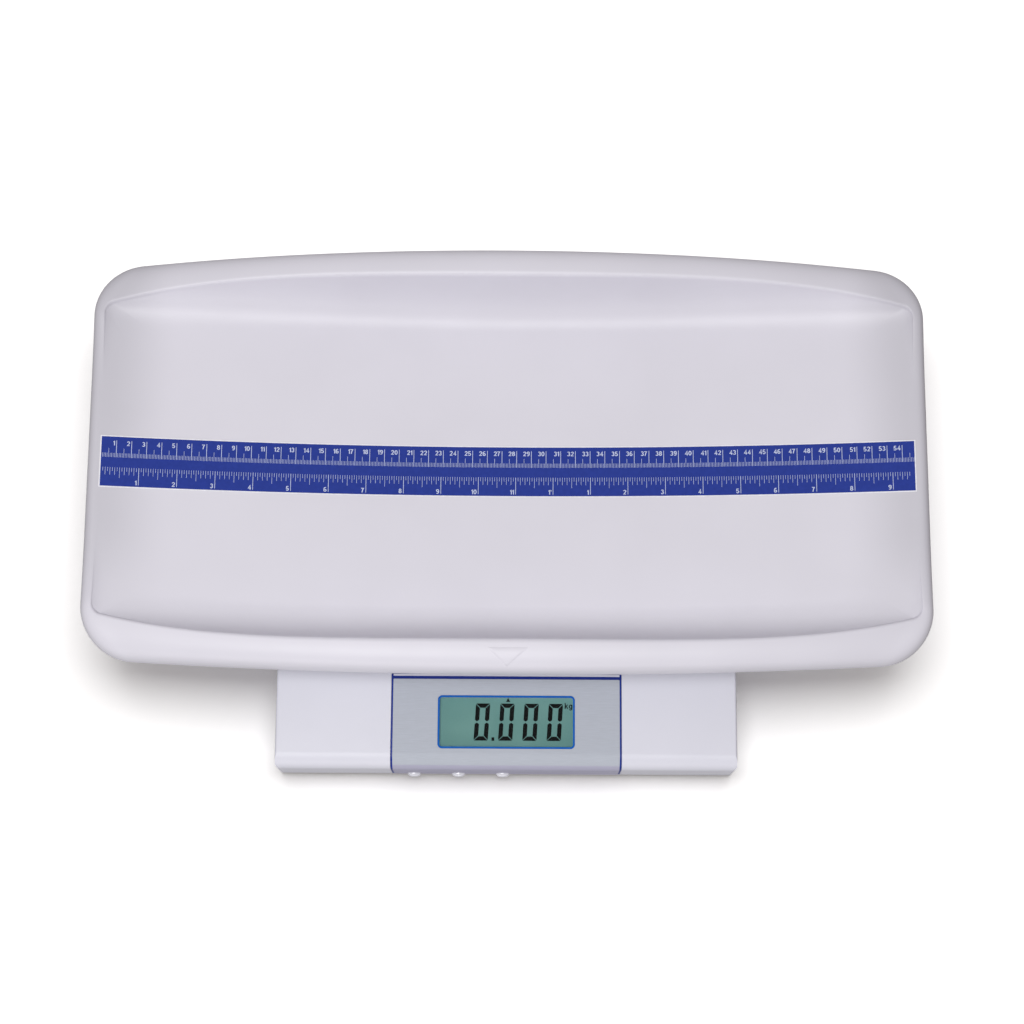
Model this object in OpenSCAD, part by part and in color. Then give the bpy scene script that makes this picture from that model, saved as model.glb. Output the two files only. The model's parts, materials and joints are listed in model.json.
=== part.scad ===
// Baby weighing scale: a lift-off saddle-shaped tray on a single-point weighing base.
// Millimetres. +X runs along the tray, +Y away from the display, +Z up.
// The origin is on the table, under the middle of the whole outline.

/* [Tray] */
// Length of the tray from end to end
tray_length = 565.5; // [500:0.5:620]
// Depth of the tray at its middle, over both rolled rims
tray_depth = 291; // [260:0.5:320]
// How far each long edge bulges outward between its corners and its middle
side_bulge = 8.4; // [4:0.2:12]
// How far each long crest bulges outward between its corners and its middle
crest_bulge = 17; // [12:0.5:20]
// Plan radius of the tray's corners
tray_corner = 37; // [30:1:44]
// Clear height between the deck and the underside of the tray's floor
tray_gap = 19; // [15:0.5:22]
// Height of the long crests above the floor at their middle
wall_height = 41; // [36:1:50]
// How much lower the long crests are at the corners than at their middle
crest_drop = 12; // [8:0.5:16]
// Height of the crest above the floor at the middle of the two ends
end_lip = 0.4; // [0.2:0.1:3]
// How much the floor climbs between the middle and the two ends
floor_rise = 26.5; // [20:0.5:28]
// Horizontal run of the long walls, from the floor to the crest
wall_run = 28.5; // [22:0.5:34]
// Horizontal run of the low walls at the two ends and at the corners
end_wall_run = 18; // [14:0.5:22]
// Width of the rolled rim along the long sides
rim_width = 21.2; // [16:0.2:26]
// Width of the rolled rim at the two ends
end_rim_width = 9; // [6:0.5:12]
// Drop of the rolled rim along the long sides
rim_drop = 18; // [14:0.5:26]
// Drop of the rolled rim at the two ends
end_rim_drop = 12; // [9:0.5:15]
// Rounding of the crest between the inner wall and the rolled rim
crest_radius = 3; // [2:0.5:4]
// Wall of the moulded tray
tray_wall = 3; // [2.5:0.1:3.6]

/* [Measuring strip] */
// Width of the measuring strip along the tray
strip_width = 34; // [26:1:44]
// How far the measuring strip lies in front of the tray's middle line
strip_shift = 3; // [0:0.5:6]
// Thickness of the measuring strip
strip_thickness = 0.5; // [0.3:0.1:0.8]

/* [Base] */
// Width of the base
base_width = 311; // [290:1:340]
// Depth of the base from its front face to its back
base_depth = 297.5; // [275:0.5:315]
// Height of the deck above the table
deck_height = 45; // [44:0.5:52]
// How far the base stands out in front of the tray
front_reach = 56.6; // [54:0.2:66]
// Wall of the two housing mouldings
base_wall = 2.5; // [2:0.1:3]
// Radius of the roll from the deck into the front face
front_roll = 10; // [7:0.5:12]
// Radius of the deck's other edges
edge_radius = 1.5; // [1:0.1:3]
// Plan radius of the base's corners
base_corner = 2.5; // [2:0.1:5]
// Height of the joint between the two mouldings
parting_height = 9; // [8.5:0.1:9.5]
// Clearance where one moulding fits inside or over another
fit_gap = 0.2; // [0.15:0.05:0.3]

/* [Display] */
// Width of the display panel
panel_width = 155.4; // [130:0.2:170]
// Length of the panel along the deck, from the front face to its back edge
panel_reach = 63.6; // [60:0.2:72]
// Width of the coloured edge that shows on both sides of the silver facing
panel_edge = 1.3; // [0.8:0.1:2]
// Width of the bezel that shows behind the silver facing
panel_back_edge = 3.6; // [2:0.1:5]
// Depth of the recess that the panel lies in
panel_recess = 1.2; // [1:0.1:1.4]
// How far the coloured bezel stands above the deck
bezel_proud = 0.1; // [0.1:0.1:0.4]
// Thickness of the silver facing
facing_thickness = 0.4; // [0.3:0.1:0.6]
// Width of the display window
lcd_width = 92.3; // [80:0.1:100]
// Depth of the display window
lcd_depth = 35.8; // [30:0.2:38]
// Distance from the front face to the near edge of the window
lcd_setback = 13.1; // [13:0.1:16]
// Width of the blue frame round the window
lcd_border = 1.2; // [0.8:0.1:1.8]

/* [Buttons] */
// Width of a push button
button_width = 9.4; // [8:0.2:12]
// Height of a push button
button_height = 5.6; // [4.6:0.2:6.4]
// Distance between neighbouring buttons
button_pitch = 30.2; // [24:0.2:32]
// Place of the middle button from the centre line
middle_button_x = -32.4; // [-36:0.2:-28]
// Height of the buttons above the table
button_height_above_table = 15; // [14.6:0.2:17]
// How far a button stands out of the front face
button_proud = 3.1; // [2.2:0.1:4]
// How far a button can be pressed
button_travel = 0.8; // [0.4:0.1:1]
// Clearance between a button and its hole
button_gap = 0.25; // [0.2:0.05:0.35]

/* [Weighing unit] */
// Length of the load cell
cell_length = 130; // [120:1:140]
// Width of the load cell
cell_width = 30; // [26:1:34]
// Height of the load cell
cell_height = 22; // [20:0.5:22]
// Thickness of the spacer under the fixed end and over the free end
spacer_thickness = 2.4; // [2:0.1:2.4]
// How far the free end sinks before it meets the overload stop
overload_gap = 0.4; // [0.3:0.1:0.5]
// Distance between the platform posts along the tray
post_spacing_x = 210; // [190:2:230]
// Distance of the rear platform posts from the base's back edge
post_setback = 28; // [24:0.5:34]
// Diameter of a platform post
post_diameter = 22; // [18:1:24]
// Clearance between a post and its hole in the deck
post_gap = 1.5; // [1:0.1:2]
// Height of the rubber cushions' tops above the deck
cushion_height = 12; // [11:0.5:12]

/* [Battery box] */
// Diameter of a cell in the battery box
battery_diameter = 14.3; // [14:0.1:14.5]
// Length of a cell in the battery box
battery_length = 50; // [49.5:0.1:50.5]
// Thickness of the battery door
door_thickness = 2; // [1.6:0.1:2.2]
// Running clearance of the battery door in its rails
door_gap = 0.25; // [0.2:0.05:0.3]

/* [Feet] */
// Height of the rubber feet below the housing
foot_height = 3; // [2.5:0.1:3.5]
// Diameter of a rubber foot
foot_diameter = 24; // [20:1:28]

/* [Hidden] */
$fn = 64;

// A cut reaches this far past the surface that it opens.
past = 1;

// Places along Y: the whole outline, from the buttons' noses to the tray's far edge, is centred.
overall_depth = tray_depth + front_reach + button_proud;
face_y = -overall_depth / 2 + button_proud;
back_y = face_y + base_depth;
tray_y = (overall_depth - tray_depth) / 2;
base_mid_y = (face_y + back_y) / 2;
half_base = base_width / 2;
ceiling_z = deck_height - base_wall;
floor_top = foot_height + base_wall;

// ---- Tray: plan outlines and cross-sections --------------------------------------------------

floor_z = deck_height + tray_gap + tray_wall;
side_steps = 7;
corner_steps = 6;
end_steps = 6;
half_length = tray_length / 2;
half_depth = tray_depth / 2;
crest_half = [half_length - end_rim_width, half_depth - rim_width];
foot_half = [crest_half[0] - end_wall_run, crest_half[1] - wall_run];

// The crest turns its corners sharply, the floor and the outer edge more gently.
crest_corner = 8;
foot_corner = 14;
foot_bulge = crest_bulge - (wall_run - end_wall_run);

// How flat a long side stays before it draws in: 2 is a plain arc.
edge_power = 2;
crest_power = 4;

// One quarter of a plan outline, from the middle of a long side to the end's middle. Each entry is
// [x, y, share of the way round the corner, share of the way along the end].
function quarter(half, bulge, power, r) =
  let (
    centre_x = half[0] - r,
    lean = atan(power * bulge / centre_x),
    side_x = centre_x + r * sin(lean),
    centre_y = half[1] - bulge - r * cos(lean)
  )
  concat(
    [for (i = [0 : side_steps - 1])
      let (x = side_x * i / side_steps) [x, half[1] - bulge * pow(x / side_x, power), 0, 0]],
    [for (i = [0 : corner_steps])
      let (t = i / corner_steps, a = (90 - lean) * (1 - t))
      [centre_x + r * cos(a), centre_y + r * sin(a), t * t * (3 - 2 * t), 0]],
    [for (i = [1 : end_steps]) [half[0], centre_y * (1 - i / end_steps), 1, i / end_steps]]
  );

// A whole outline: the quarter, then its mirror images, each without the shared end point.
function outline(q) =
  let (n = len(q))
  concat(
    q,
    [for (i = [n - 2 : -1 : 0]) [q[i][0], -q[i][1], q[i][2], q[i][3]]],
    [for (i = [1 : n - 1]) [-q[i][0], -q[i][1], q[i][2], q[i][3]]],
    [for (i = [n - 2 : -1 : 1]) [-q[i][0], q[i][1], q[i][2], q[i][3]]]
  );

foot_line = outline(quarter(foot_half, foot_bulge, crest_power, foot_corner));
crest_line = outline(quarter(crest_half, crest_bulge, crest_power, crest_corner));
edge_line = outline(quarter([half_length, half_depth], side_bulge, edge_power, tray_corner));
stations = len(foot_line);

function plan(p) = [p[0], p[1]];
function blend(a, b, t) = a + (b - a) * t;
function cubic(p, t) =
  pow(1 - t, 3) * p[0] + 3 * pow(1 - t, 2) * t * p[1] + 3 * (1 - t) * t * t * p[2] + pow(t, 3) * p[3];
function floor_at(x) = floor_z + floor_rise * pow(x / half_length, 2);
function floor_slope(x) = 2 * floor_rise * x / pow(half_length, 2);
function side_crest(x) = floor_z + wall_height - crest_drop * pow(x / crest_half[0], 2);

// The crest dips along the two ends, to a low lip that is level where the strip crosses it.
end_crest = floor_at(crest_half[0]) + end_lip;
level_from = 0.5;
function crest_z(p) = blend(end_crest, side_crest(p[0]), pow(max(0, 1 - p[3] / level_from), 2));

wall_steps = 7;
crest_steps = 3;
rim_steps = 5;

// Control points of the section's curves, as shares of a run (first) and of a rise or drop (second).
wall_low_pull = 0.6;
wall_high_pull = [0.82, 0.45];
rim_near_pull = [0.75, 0.02];
rim_edge_pull = 0.26;
// Where the crest's rounding starts and ends, as shares of its radius.
crest_inner = 0.25;
crest_outer_drop = 0.08;
// The rounding takes no more than this share of a low wall's height.
crest_limit = 0.4;
// A crest this high above the floor has its full edge. A lower one melts into the floor.
crisp_height = 5;

// The plan lengths of a station's wall and rim.
function wall_reach(i) = norm(plan(crest_line[i]) - plan(foot_line[i]));
function rim_reach(i) = norm(plan(edge_line[i]) - plan(crest_line[i]));

// The moulding's upper surface at one station, as [distance out from the wall's foot, z].
function upper_section(i) =
  let (
    foot = foot_line[i], to_end = foot[2],
    run = wall_reach(i),
    rim = rim_reach(i),
    low = floor_at(foot[0]),
    tilt = floor_slope(foot[0]) * (crest_line[i][0] - foot[0]) / run,
    top = crest_z(crest_line[i]),
    rise = top - low,
    crisp = min(1, (top - floor_at(crest_line[i][0])) / crisp_height),
    drop = top - blend(top - rim_drop, end_crest - end_rim_drop, to_end),
    crest = [run, top],
    steep = blend(crest_radius, crest_radius / 2, to_end),
    inner = steep * crest_inner,
    wall_top = crest - [inner, blend(tilt * inner, min(steep, rise * crest_limit), crisp)],
    wall_start = run * [wall_low_pull, tilt * wall_low_pull] + [0, low],
    wall_end = [run * wall_high_pull[0], low + blend(tilt * run * wall_high_pull[0],
      max(rise * wall_high_pull[1], tilt * run * wall_low_pull), crisp)],
    rim_start = crest + [steep, blend(tilt * steep, -steep * crest_outer_drop, crisp)],
    near = rim * rim_near_pull[0],
    rim_bend = crest + [near, blend(tilt * near, -drop * rim_near_pull[1], crisp)]
  )
  concat(
    [for (k = [0 : wall_steps - 1]) cubic([[0, low], wall_start, wall_end, wall_top], k / wall_steps)],
    [for (k = [0 : crest_steps - 1])
      let (t = k / crest_steps)
      pow(1 - t, 2) * wall_top + 2 * (1 - t) * t * crest + t * t * rim_start],
    [for (k = [0 : rim_steps])
      cubic([rim_start, rim_bend, crest + [rim, -drop * rim_edge_pull], crest + [rim, -drop]],
            k / rim_steps)]
  );

// The same section moved through the wall's thickness, for the moulding's underside.
function lower_section(s) =
  let (n = len(s))
  [for (k = [0 : n - 1])
    let (
      along = s[min(k + 1, n - 1)] - s[max(k - 1, 0)],
      d = along / norm(along)
    )
    k == 0 ? s[0] - [0, tray_wall] : s[k] + tray_wall * [d[1], -d[0]]];

// A section's distance runs from the foot to the crest, and on from the crest to the edge.
function in_space(i, p) =
  let (
    run = wall_reach(i),
    on_wall = p[0] <= run,
    a = plan(on_wall ? foot_line[i] : crest_line[i]),
    b = plan(on_wall ? crest_line[i] : edge_line[i]),
    q = on_wall ? a + (b - a) * p[0] / run : a + (b - a) * (p[0] - run) / rim_reach(i)
  )
  [q[0], q[1] + tray_y, p[1]];

// Rows of points from the upper foot, over the rim and back to the lower foot.
tray_rows = [for (i = [0 : stations - 1])
  let (s = upper_section(i), u = lower_section(s))
  concat(s, [for (k = [len(u) - 1 : -1 : 0]) u[k]])];
row_length = len(tray_rows[0]);
tray_points = [for (i = [0 : stations - 1]) for (p = tray_rows[i]) in_space(i, p)];

// The floor's rungs join each station to the one straight across the tray. The last panel at
// each end takes in all the stations of the straight end.
half_turn = stations / 2;
last_rung = side_steps + corner_steps - 1;
function station(i) = (i + stations) % stations;
function upper_foot(i) = station(i) * row_length;
function lower_foot(i) = station(i) * row_length + row_length - 1;

tray_faces = concat(
  [for (i = [0 : stations - 1]) for (k = [0 : row_length - 2])
    let (j = (i + 1) % stations, a = i * row_length + k, b = j * row_length + k)
    each [[a, a + 1, b + 1], [a, b + 1, b]]],
  [for (r = [-last_rung : last_rung - 1])
    [upper_foot(r), upper_foot(r + 1), upper_foot(half_turn - r - 1), upper_foot(half_turn - r)]],
  [for (r = [-last_rung : last_rung - 1])
    [lower_foot(half_turn - r), lower_foot(half_turn - r - 1), lower_foot(r + 1), lower_foot(r)]],
  [for (start = [last_rung, half_turn + last_rung])
    [for (i = [start : start + half_turn - 2 * last_rung]) upper_foot(i)]],
  [for (start = [last_rung, half_turn + last_rung])
    [for (i = [start + half_turn - 2 * last_rung : -1 : start]) lower_foot(i)]]
);

// Locating cups under the tray take the cushions on the platform posts.
cushion_wall = 4;
cushion_diameter = post_diameter + 2 * cushion_wall;
cup_gap = 0.5;
cup_inner = cushion_diameter + 2 * cup_gap;
cup_outer = cup_inner + 2 * tray_wall;
seat_z = deck_height + cushion_height;
cup_grip = 2.6;
post_spacing_y = 2 * (back_y - post_setback - tray_y);
post_places = [for (sx = [-1, 1]) for (sy = [-1, 1])
  [sx * post_spacing_x / 2, tray_y + sy * post_spacing_y / 2]];
cup_top = floor_at(post_spacing_x / 2) - tray_wall / 2;

module at_posts() {
  for (p = post_places) translate([p[0], p[1], 0]) children();
}

module tray() {
  color("ghostwhite") union() {
    polyhedron(tray_points, tray_faces, convexity = 8);
    at_posts() difference() {
      translate([0, 0, seat_z - cup_grip])
        cylinder(d = cup_outer, h = cup_top - seat_z + cup_grip);
      translate([0, 0, seat_z - cup_grip - past]) cylinder(d = cup_inner, h = cup_grip + past);
    }
  }
}

// ---- Measuring strip: a thin band bent along the tray's middle line ----------------------------

end_station = side_steps + corner_steps + end_steps;
end_section = upper_section(end_station);
strip_right = concat(
  [for (i = [0 : side_steps + corner_steps]) [foot_line[i][0], floor_at(foot_line[i][0])]],
  [for (k = [1 : wall_steps - 1]) [foot_half[0] + end_section[k][0], end_section[k][1]]]
);
strip_curve = concat(
  [for (i = [len(strip_right) - 1 : -1 : 1]) [-strip_right[i][0], strip_right[i][1]]],
  strip_right
);

module ruler_strip() {
  color("royalblue") translate([0, tray_y - strip_shift + strip_width / 2, 0]) rotate([90, 0, 0])
    linear_extrude(strip_width) polygon(concat(
      strip_curve,
      [for (i = [len(strip_curve) - 1 : -1 : 0]) strip_curve[i] + [0, strip_thickness]]
    ));
}

// ---- Shared outlines for the base ---------------------------------------------------------------

// A rectangle with its own radius at each corner, in the order low-low, high-low, high-high, low-high.
module rounded_rect(low, high, radii) {
  corners = [low, [high[0], low[1]], high, [low[0], high[1]]];
  signs = [[1, 1], [-1, 1], [-1, -1], [1, -1]];
  difference() {
    translate(low) square([high[0] - low[0], high[1] - low[1]]);
    for (i = [0 : 3]) if (radii[i] > 0) difference() {
      translate([
        corners[i][0] - (signs[i][0] > 0 ? past : radii[i]),
        corners[i][1] - (signs[i][1] > 0 ? past : radii[i])
      ]) square(radii[i] + past);
      translate(corners[i] + radii[i] * signs[i]) circle(radii[i]);
    }
  }
}

// Children drawn in Y and Z are swept along X, between x0 and x1.
module along_x(x0, x1) {
  translate([x0, 0, 0]) rotate([90, 0, 90]) linear_extrude(x1 - x0) children();
}

// Children drawn in X and Z are swept along Y, between y0 and y1.
module along_y(y0, y1) {
  translate([0, y1, 0]) rotate([90, 0, 0]) linear_extrude(y1 - y0) children();
}

module from_to(z0, z1) {
  translate([0, 0, z0]) linear_extrude(z1 - z0) children();
}

module base_plan(inset) {
  r = max(base_corner - inset, 0);
  rounded_rect([-half_base + inset, face_y + inset], [half_base - inset, back_y - inset],
               [r, r, r, r]);
}

// The base's rolled upper body, drawn in by an inset on all sides but the bottom.
module upper_block(inset, z0) {
  top = deck_height - inset;
  r = max(edge_radius - inset, 0);
  intersection() {
    along_x(-half_base - past, half_base + past)
      rounded_rect([face_y + inset, z0], [back_y - inset, top], [0, 0, r, front_roll - inset]);
    along_y(face_y - 2 * past, back_y + 2 * past)
      rounded_rect([-half_base + inset, z0], [half_base - inset, top], [0, 0, r, r]);
    from_to(z0 - past, top + past) base_plan(inset);
  }
}

// ---- Places of what the base holds ---------------------------------------------------------------

button_z = button_height_above_table;
button_xs = [middle_button_x - button_pitch, middle_button_x, middle_button_x + button_pitch];

// Layers behind the front face, from the housing wall inward.
flange_thickness = 1.2;
flange_rim = 1.6;
flange_front = face_y + base_wall + fit_gap;
flange_back = flange_front + flange_thickness;
stem_length = 3;
stem_diameter = 3;
plunger_diameter = 3;
switch_rest = 0.6;
plunger_proud = button_travel + switch_rest;
plunger_reach = 1.4;
plunger_front = flange_back + stem_length;
switch_front = plunger_front + plunger_proud;
switch_size = 6;
switch_depth = 3.6;
board_thickness = 1.6;
button_board_y = switch_front + switch_depth;
button_board_half_height = 6;
board_overhang = 14;
button_board_ends = [button_xs[0] - board_overhang, button_xs[2] + board_overhang];
button_screw_inset = 4;
button_screw_xs = [button_board_ends[0] + button_screw_inset, button_board_ends[1] - button_screw_inset];

// The display stack hangs under the ceiling, below its window.
window_front = face_y + lcd_setback;
window_back = window_front + lcd_depth;
lcd_mid_y = (window_front + window_back) / 2;
glass_margin = 4;
glass_thickness = 2.8;
glass_top = ceiling_z - fit_gap;
holder_thickness = 2;
board_top = glass_top - glass_thickness - holder_thickness;
board_margin = [16, 7];
board_size = [lcd_width + 2 * board_margin[0], lcd_depth + 2 * board_margin[1]];
board_screw_inset = 5;
board_screw_x = board_size[0] / 2 - board_screw_inset;
board_screw_y = board_size[1] / 2 - board_screw_inset;
board_screw_places = [for (sx = [-1, 1]) for (sy = [-1, 1])
  [sx * board_screw_x, lcd_mid_y + sy * board_screw_y]];
panel_back = face_y + panel_reach;

// The battery box opens through the underside, at the back. Its two bays lie end to end along X,
// and each bay holds its batteries side by side.
battery_rows = 2;
battery_pitch = battery_diameter + 0.7;
battery_play = 1;
contact_space = 4.5;
bay_wall = 1.6;
bay_length = battery_length + 2 * contact_space;
bay_width = battery_rows * battery_pitch + 2 * battery_play;
bay_mid_x = (bay_wall + bay_length) / 2;
box_half = bay_length + bay_wall / 2;
box_wall = 1.8;
box_setback = 4;
box_back = back_y - base_wall - box_setback;
box_front = box_back - bay_width;
door_low = foot_height;
door_bed_top = door_low + door_thickness + door_gap;
battery_z = door_bed_top + battery_play + battery_diameter / 2;
box_roof = battery_z + battery_diameter / 2 + battery_play;
rail_depth = 2.2;
rail_height = 1;
rail_low = door_low + door_thickness - rail_height;
door_lap = 0.8;
door_half = box_half + door_lap;
door_front = box_front - 3;
ledge_thickness = 1.6;
ledge_top = door_bed_top + ledge_thickness;
rail_land = 3;

// The weighing unit stands on the steel base plate.
plate_thickness = 2;
plate_rib_height = 1.5;
plate_low = floor_top + plate_rib_height;
plate_top = plate_low + plate_thickness;
plate_overhang = [14, 10];
plate_half = [cell_length / 2 + plate_overhang[0], cell_width / 2 + plate_overhang[1]];
cell_low = plate_top + spacer_thickness;
cell_top = cell_low + cell_height;
cell_half = cell_length / 2;
cell_bolt_inset = 8;
cell_bolt_pitch = 15;
cell_bolt_xs = [cell_half - cell_bolt_inset, cell_half - cell_bolt_inset - cell_bolt_pitch];
spacer_length = 2 * cell_bolt_inset + cell_bolt_pitch;
frame_low = cell_top + spacer_thickness;
frame_thickness = 3;
frame_top = frame_low + frame_thickness;
bolt_diameter = 6;
thread_gap = 0.1;
bolt_hole = bolt_diameter + 2 * thread_gap;
bolt_bite = 14;
bolt_head = 10;
head_gap = 1;
bolt_head_height = 3.3;
low_head_height = 1.8;
plate_screw_inset = 6;
plate_screw_places = [for (sx = [-1, 1]) for (sy = [-1, 1])
  [sx * (plate_half[0] - plate_screw_inset), tray_y + sy * (plate_half[1] - plate_screw_inset)]];

// Screws that hold plastic to plastic.
screw_diameter = 3;
screw_head = 6;
screw_head_height = 2;
screw_hole = screw_diameter + 2 * thread_gap;
head_sink = 0.6;
boss_diameter = 8;
pillar_diameter = boss_diameter + 2;
// A blind hole goes this far beyond its screw.
hole_spare = 0.4;
housing_screw_seat = foot_height + screw_head_height + head_sink;
housing_screw_length = 19;
housing_screw_inset = [14, 18];
housing_screw_places = [
  for (sx = [-1, 1])
    for (y = [face_y + housing_screw_inset[1], base_mid_y, back_y - housing_screw_inset[1]])
      [sx * (half_base - housing_screw_inset[0]), y]
];
foot_inset = [22, 40];
foot_places = [for (sx = [-1, 1]) for (y = [face_y + foot_inset[1], back_y - foot_inset[1]])
  [sx * (half_base - foot_inset[0]), y]];

// Small screws that hold the two boards.
small_screw = 2;
small_head = 4;
small_head_height = 1.4;
small_hole = small_screw + 2 * thread_gap;
board_screw_bite = 3.8;
button_screw_bite = 5.6;
board_boss = 6;
button_boss = 5.5;

// ---- Housing --------------------------------------------------------------------------------------

// The panel's footprint on the deck and down the front, drawn in at its sides and at its back.
panel_corner = 0.6;
panel_low = parting_height + 1;
module panel_prism(inset, back_inset) {
  from_to(panel_low + inset, deck_height + 2 * past) rounded_rect(
    [-panel_width / 2 + inset, face_y - 2 * past],
    [panel_width / 2 - inset, panel_back - back_inset],
    [0, 0, panel_corner, panel_corner]
  );
}

module button_shape(grow) {
  w = button_width + 2 * grow;
  h = button_height + 2 * grow;
  union() {
    square([w - h, h], center = true);
    for (sx = [-1, 1]) translate([sx * (w - h) / 2, 0]) circle(d = h);
  }
}

module at_buttons(y0, y1) {
  for (x = button_xs) translate([x, 0, button_z]) along_y(y0, y1) children();
}

window_corner = 3;
module window_plan(grow) {
  r = window_corner + grow;
  rounded_rect([-lcd_width / 2 - grow, window_front - grow],
               [lcd_width / 2 + grow, window_back + grow], [r, r, r, r]);
}

collar_wall = 3;
collar_height = 2.5;
post_hole = post_diameter + 2 * post_gap;
rib_wall = 1.6;
rib_height = 2;
rib_inset = 24;
rib_front = panel_back + 10;
rib_back = back_y - 20;

module top_housing() {
  color("whitesmoke") difference() {
    union() {
      difference() {
        upper_block(0, parting_height);
        upper_block(base_wall, parting_height - past);
      }
      // collars keep spilt liquid out of the post holes
      at_posts() translate([0, 0, ceiling_z])
        cylinder(d = post_hole + 2 * collar_wall, h = base_wall + collar_height);
      // screw bosses down to the joint with the cover
      for (p = housing_screw_places) translate([p[0], p[1], parting_height])
        cylinder(d = boss_diameter, h = ceiling_z - parting_height + past / 2);
      // bosses for the display board
      for (p = board_screw_places) translate([p[0], p[1], board_top])
        cylinder(d = board_boss, h = ceiling_z - board_top + past / 2);
      // bosses for the button board
      for (x = button_screw_xs) translate([x, 0, button_z])
        along_y(face_y + base_wall - past / 2, button_board_y) circle(d = button_boss);
      // stiffening ribs across the ceiling, clear of the platform frame
      for (sx = [-1, 1])
        translate([sx * (half_base - rib_inset) - rib_wall / 2, rib_front, ceiling_z - rib_height])
          cube([rib_wall, rib_back - rib_front, rib_height + past / 2]);
    }
    // recess for the display panel
    difference() {
      panel_prism(-fit_gap, -fit_gap);
      upper_block(panel_recess, parting_height - past);
    }
    from_to(ceiling_z - past, deck_height + past) window_plan(-lcd_border);
    at_buttons(face_y - past, face_y + base_wall + past) button_shape(button_gap);
    at_posts() translate([0, 0, ceiling_z - past])
      cylinder(d = post_hole, h = base_wall + collar_height + 2 * past);
    for (p = housing_screw_places) translate([p[0], p[1], parting_height - past])
      cylinder(d = screw_hole,
               h = housing_screw_seat + housing_screw_length + hole_spare - parting_height + past);
    for (p = board_screw_places) translate([p[0], p[1], board_top - past])
      cylinder(d = small_hole, h = board_screw_bite + hole_spare + past);
    for (x = button_screw_xs) translate([x, 0, button_z])
      along_y(button_board_y - button_screw_bite - hole_spare, button_board_y + past)
        circle(d = small_hole);
  }
}

tongue_wall = 1.4;
tongue_height = 3;
cover_wall = base_wall + fit_gap + tongue_wall;
cover_edge = 2;
// The tongue is left out this far beyond the button board, and as deep as the buttons' parts.
bay_margin = 3;
bay_depth = 12;
plate_rib_width = 4;
blind_floor = 1;
foot_seat = 1;

module bottom_cover() {
  color("gainsboro") difference() {
    union() {
      difference() {
        intersection() {
          along_x(-half_base - past, half_base + past)
            rounded_rect([face_y, foot_height], [back_y, parting_height],
                         [cover_edge, cover_edge, 0, 0]);
          along_y(face_y - past, back_y + past)
            rounded_rect([-half_base, foot_height], [half_base, parting_height],
                         [cover_edge, cover_edge, 0, 0]);
          from_to(foot_height - past, parting_height + past) base_plan(0);
        }
        from_to(floor_top, parting_height + past) base_plan(cover_wall);
      }
      // tongue that locates the housing, left out behind the buttons
      difference() {
        from_to(parting_height - past / 2, parting_height + tongue_height)
          base_plan(base_wall + fit_gap);
        from_to(parting_height - past, parting_height + tongue_height + past)
          base_plan(cover_wall);
        translate([button_board_ends[0] - bay_margin, face_y, parting_height])
          cube([button_board_ends[1] - button_board_ends[0] + 2 * bay_margin, bay_depth,
                tongue_height + past]);
      }
      // ribs that carry the base plate
      for (sy = [-1, 0, 1])
        translate([-plate_half[0], tray_y + sy * (plate_half[1] - plate_screw_inset)
                   - plate_rib_width / 2, floor_top - past / 2])
          cube([2 * plate_half[0], plate_rib_width, plate_rib_height + past / 2]);
      for (p = plate_screw_places) translate([p[0], p[1], floor_top - past / 2])
        cylinder(d = pillar_diameter, h = plate_rib_height + past / 2);
      // screw pillars under the housing's bosses
      for (p = housing_screw_places) translate([p[0], p[1], floor_top - past / 2])
        cylinder(d = pillar_diameter, h = parting_height - floor_top + past / 2);
      // battery box
      translate([-box_half - box_wall, box_front - box_wall, foot_height])
        cube([2 * (box_half + box_wall), box_back - box_front + 2 * box_wall,
              box_roof + box_wall - foot_height]);
      // thicker floor round the door's rails
      translate([-door_half - rail_depth - rail_land, door_front - rail_land, foot_height])
        cube([2 * (door_half + rail_depth + rail_land), back_y - base_wall - door_front + rail_land,
              ledge_top - foot_height]);
    }
    // the two bays of the battery box
    for (sx = [-1, 1]) translate([sx * bay_mid_x, 0, 0]) from_to(foot_height - past, box_roof)
      square_at(bay_length, bay_width, (box_front + box_back) / 2);
    // bed of the door, open through the back wall
    translate([-door_half - door_gap, door_front - door_gap, foot_height - past])
      cube([2 * (door_half + door_gap), back_y - door_front + door_gap + past,
            door_bed_top - foot_height + past]);
    // grooves for the door's rails
    translate([-door_half - rail_depth - door_gap, door_front - door_gap, rail_low - door_gap])
      cube([2 * (door_half + rail_depth + door_gap), back_y - door_front + door_gap + past,
            rail_height + 2 * door_gap]);
    // screw holes with their sunk heads
    for (p = housing_screw_places) translate([p[0], p[1], 0]) {
      cylinder(d = screw_hole, h = parting_height + past);
      cylinder(d = screw_head + 2 * fit_gap, h = housing_screw_seat);
    }
    for (p = plate_screw_places) translate([p[0], p[1], foot_height + blind_floor])
      cylinder(d = screw_hole, h = plate_low);
    for (x = cell_bolt_xs) translate([-x, tray_y, foot_height - past])
      cylinder(d = bolt_head + 2 * head_gap, h = plate_low - foot_height + 2 * past);
    // seats of the rubber feet
    for (p = foot_places) translate([p[0], p[1], 0])
      cylinder(d = foot_diameter + 2 * fit_gap, h = foot_height + foot_seat);
  }
}

module rubber_feet() {
  r = foot_diameter / 2;
  top = foot_height + foot_seat;
  chamfer = [2, 1.2];
  color("dimgray") for (p = foot_places) translate([p[0], p[1], 0])
    rotate_extrude() polygon([[0, 0], [r - chamfer[0], 0], [r, chamfer[1]], [r, top], [0, top]]);
}

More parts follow.
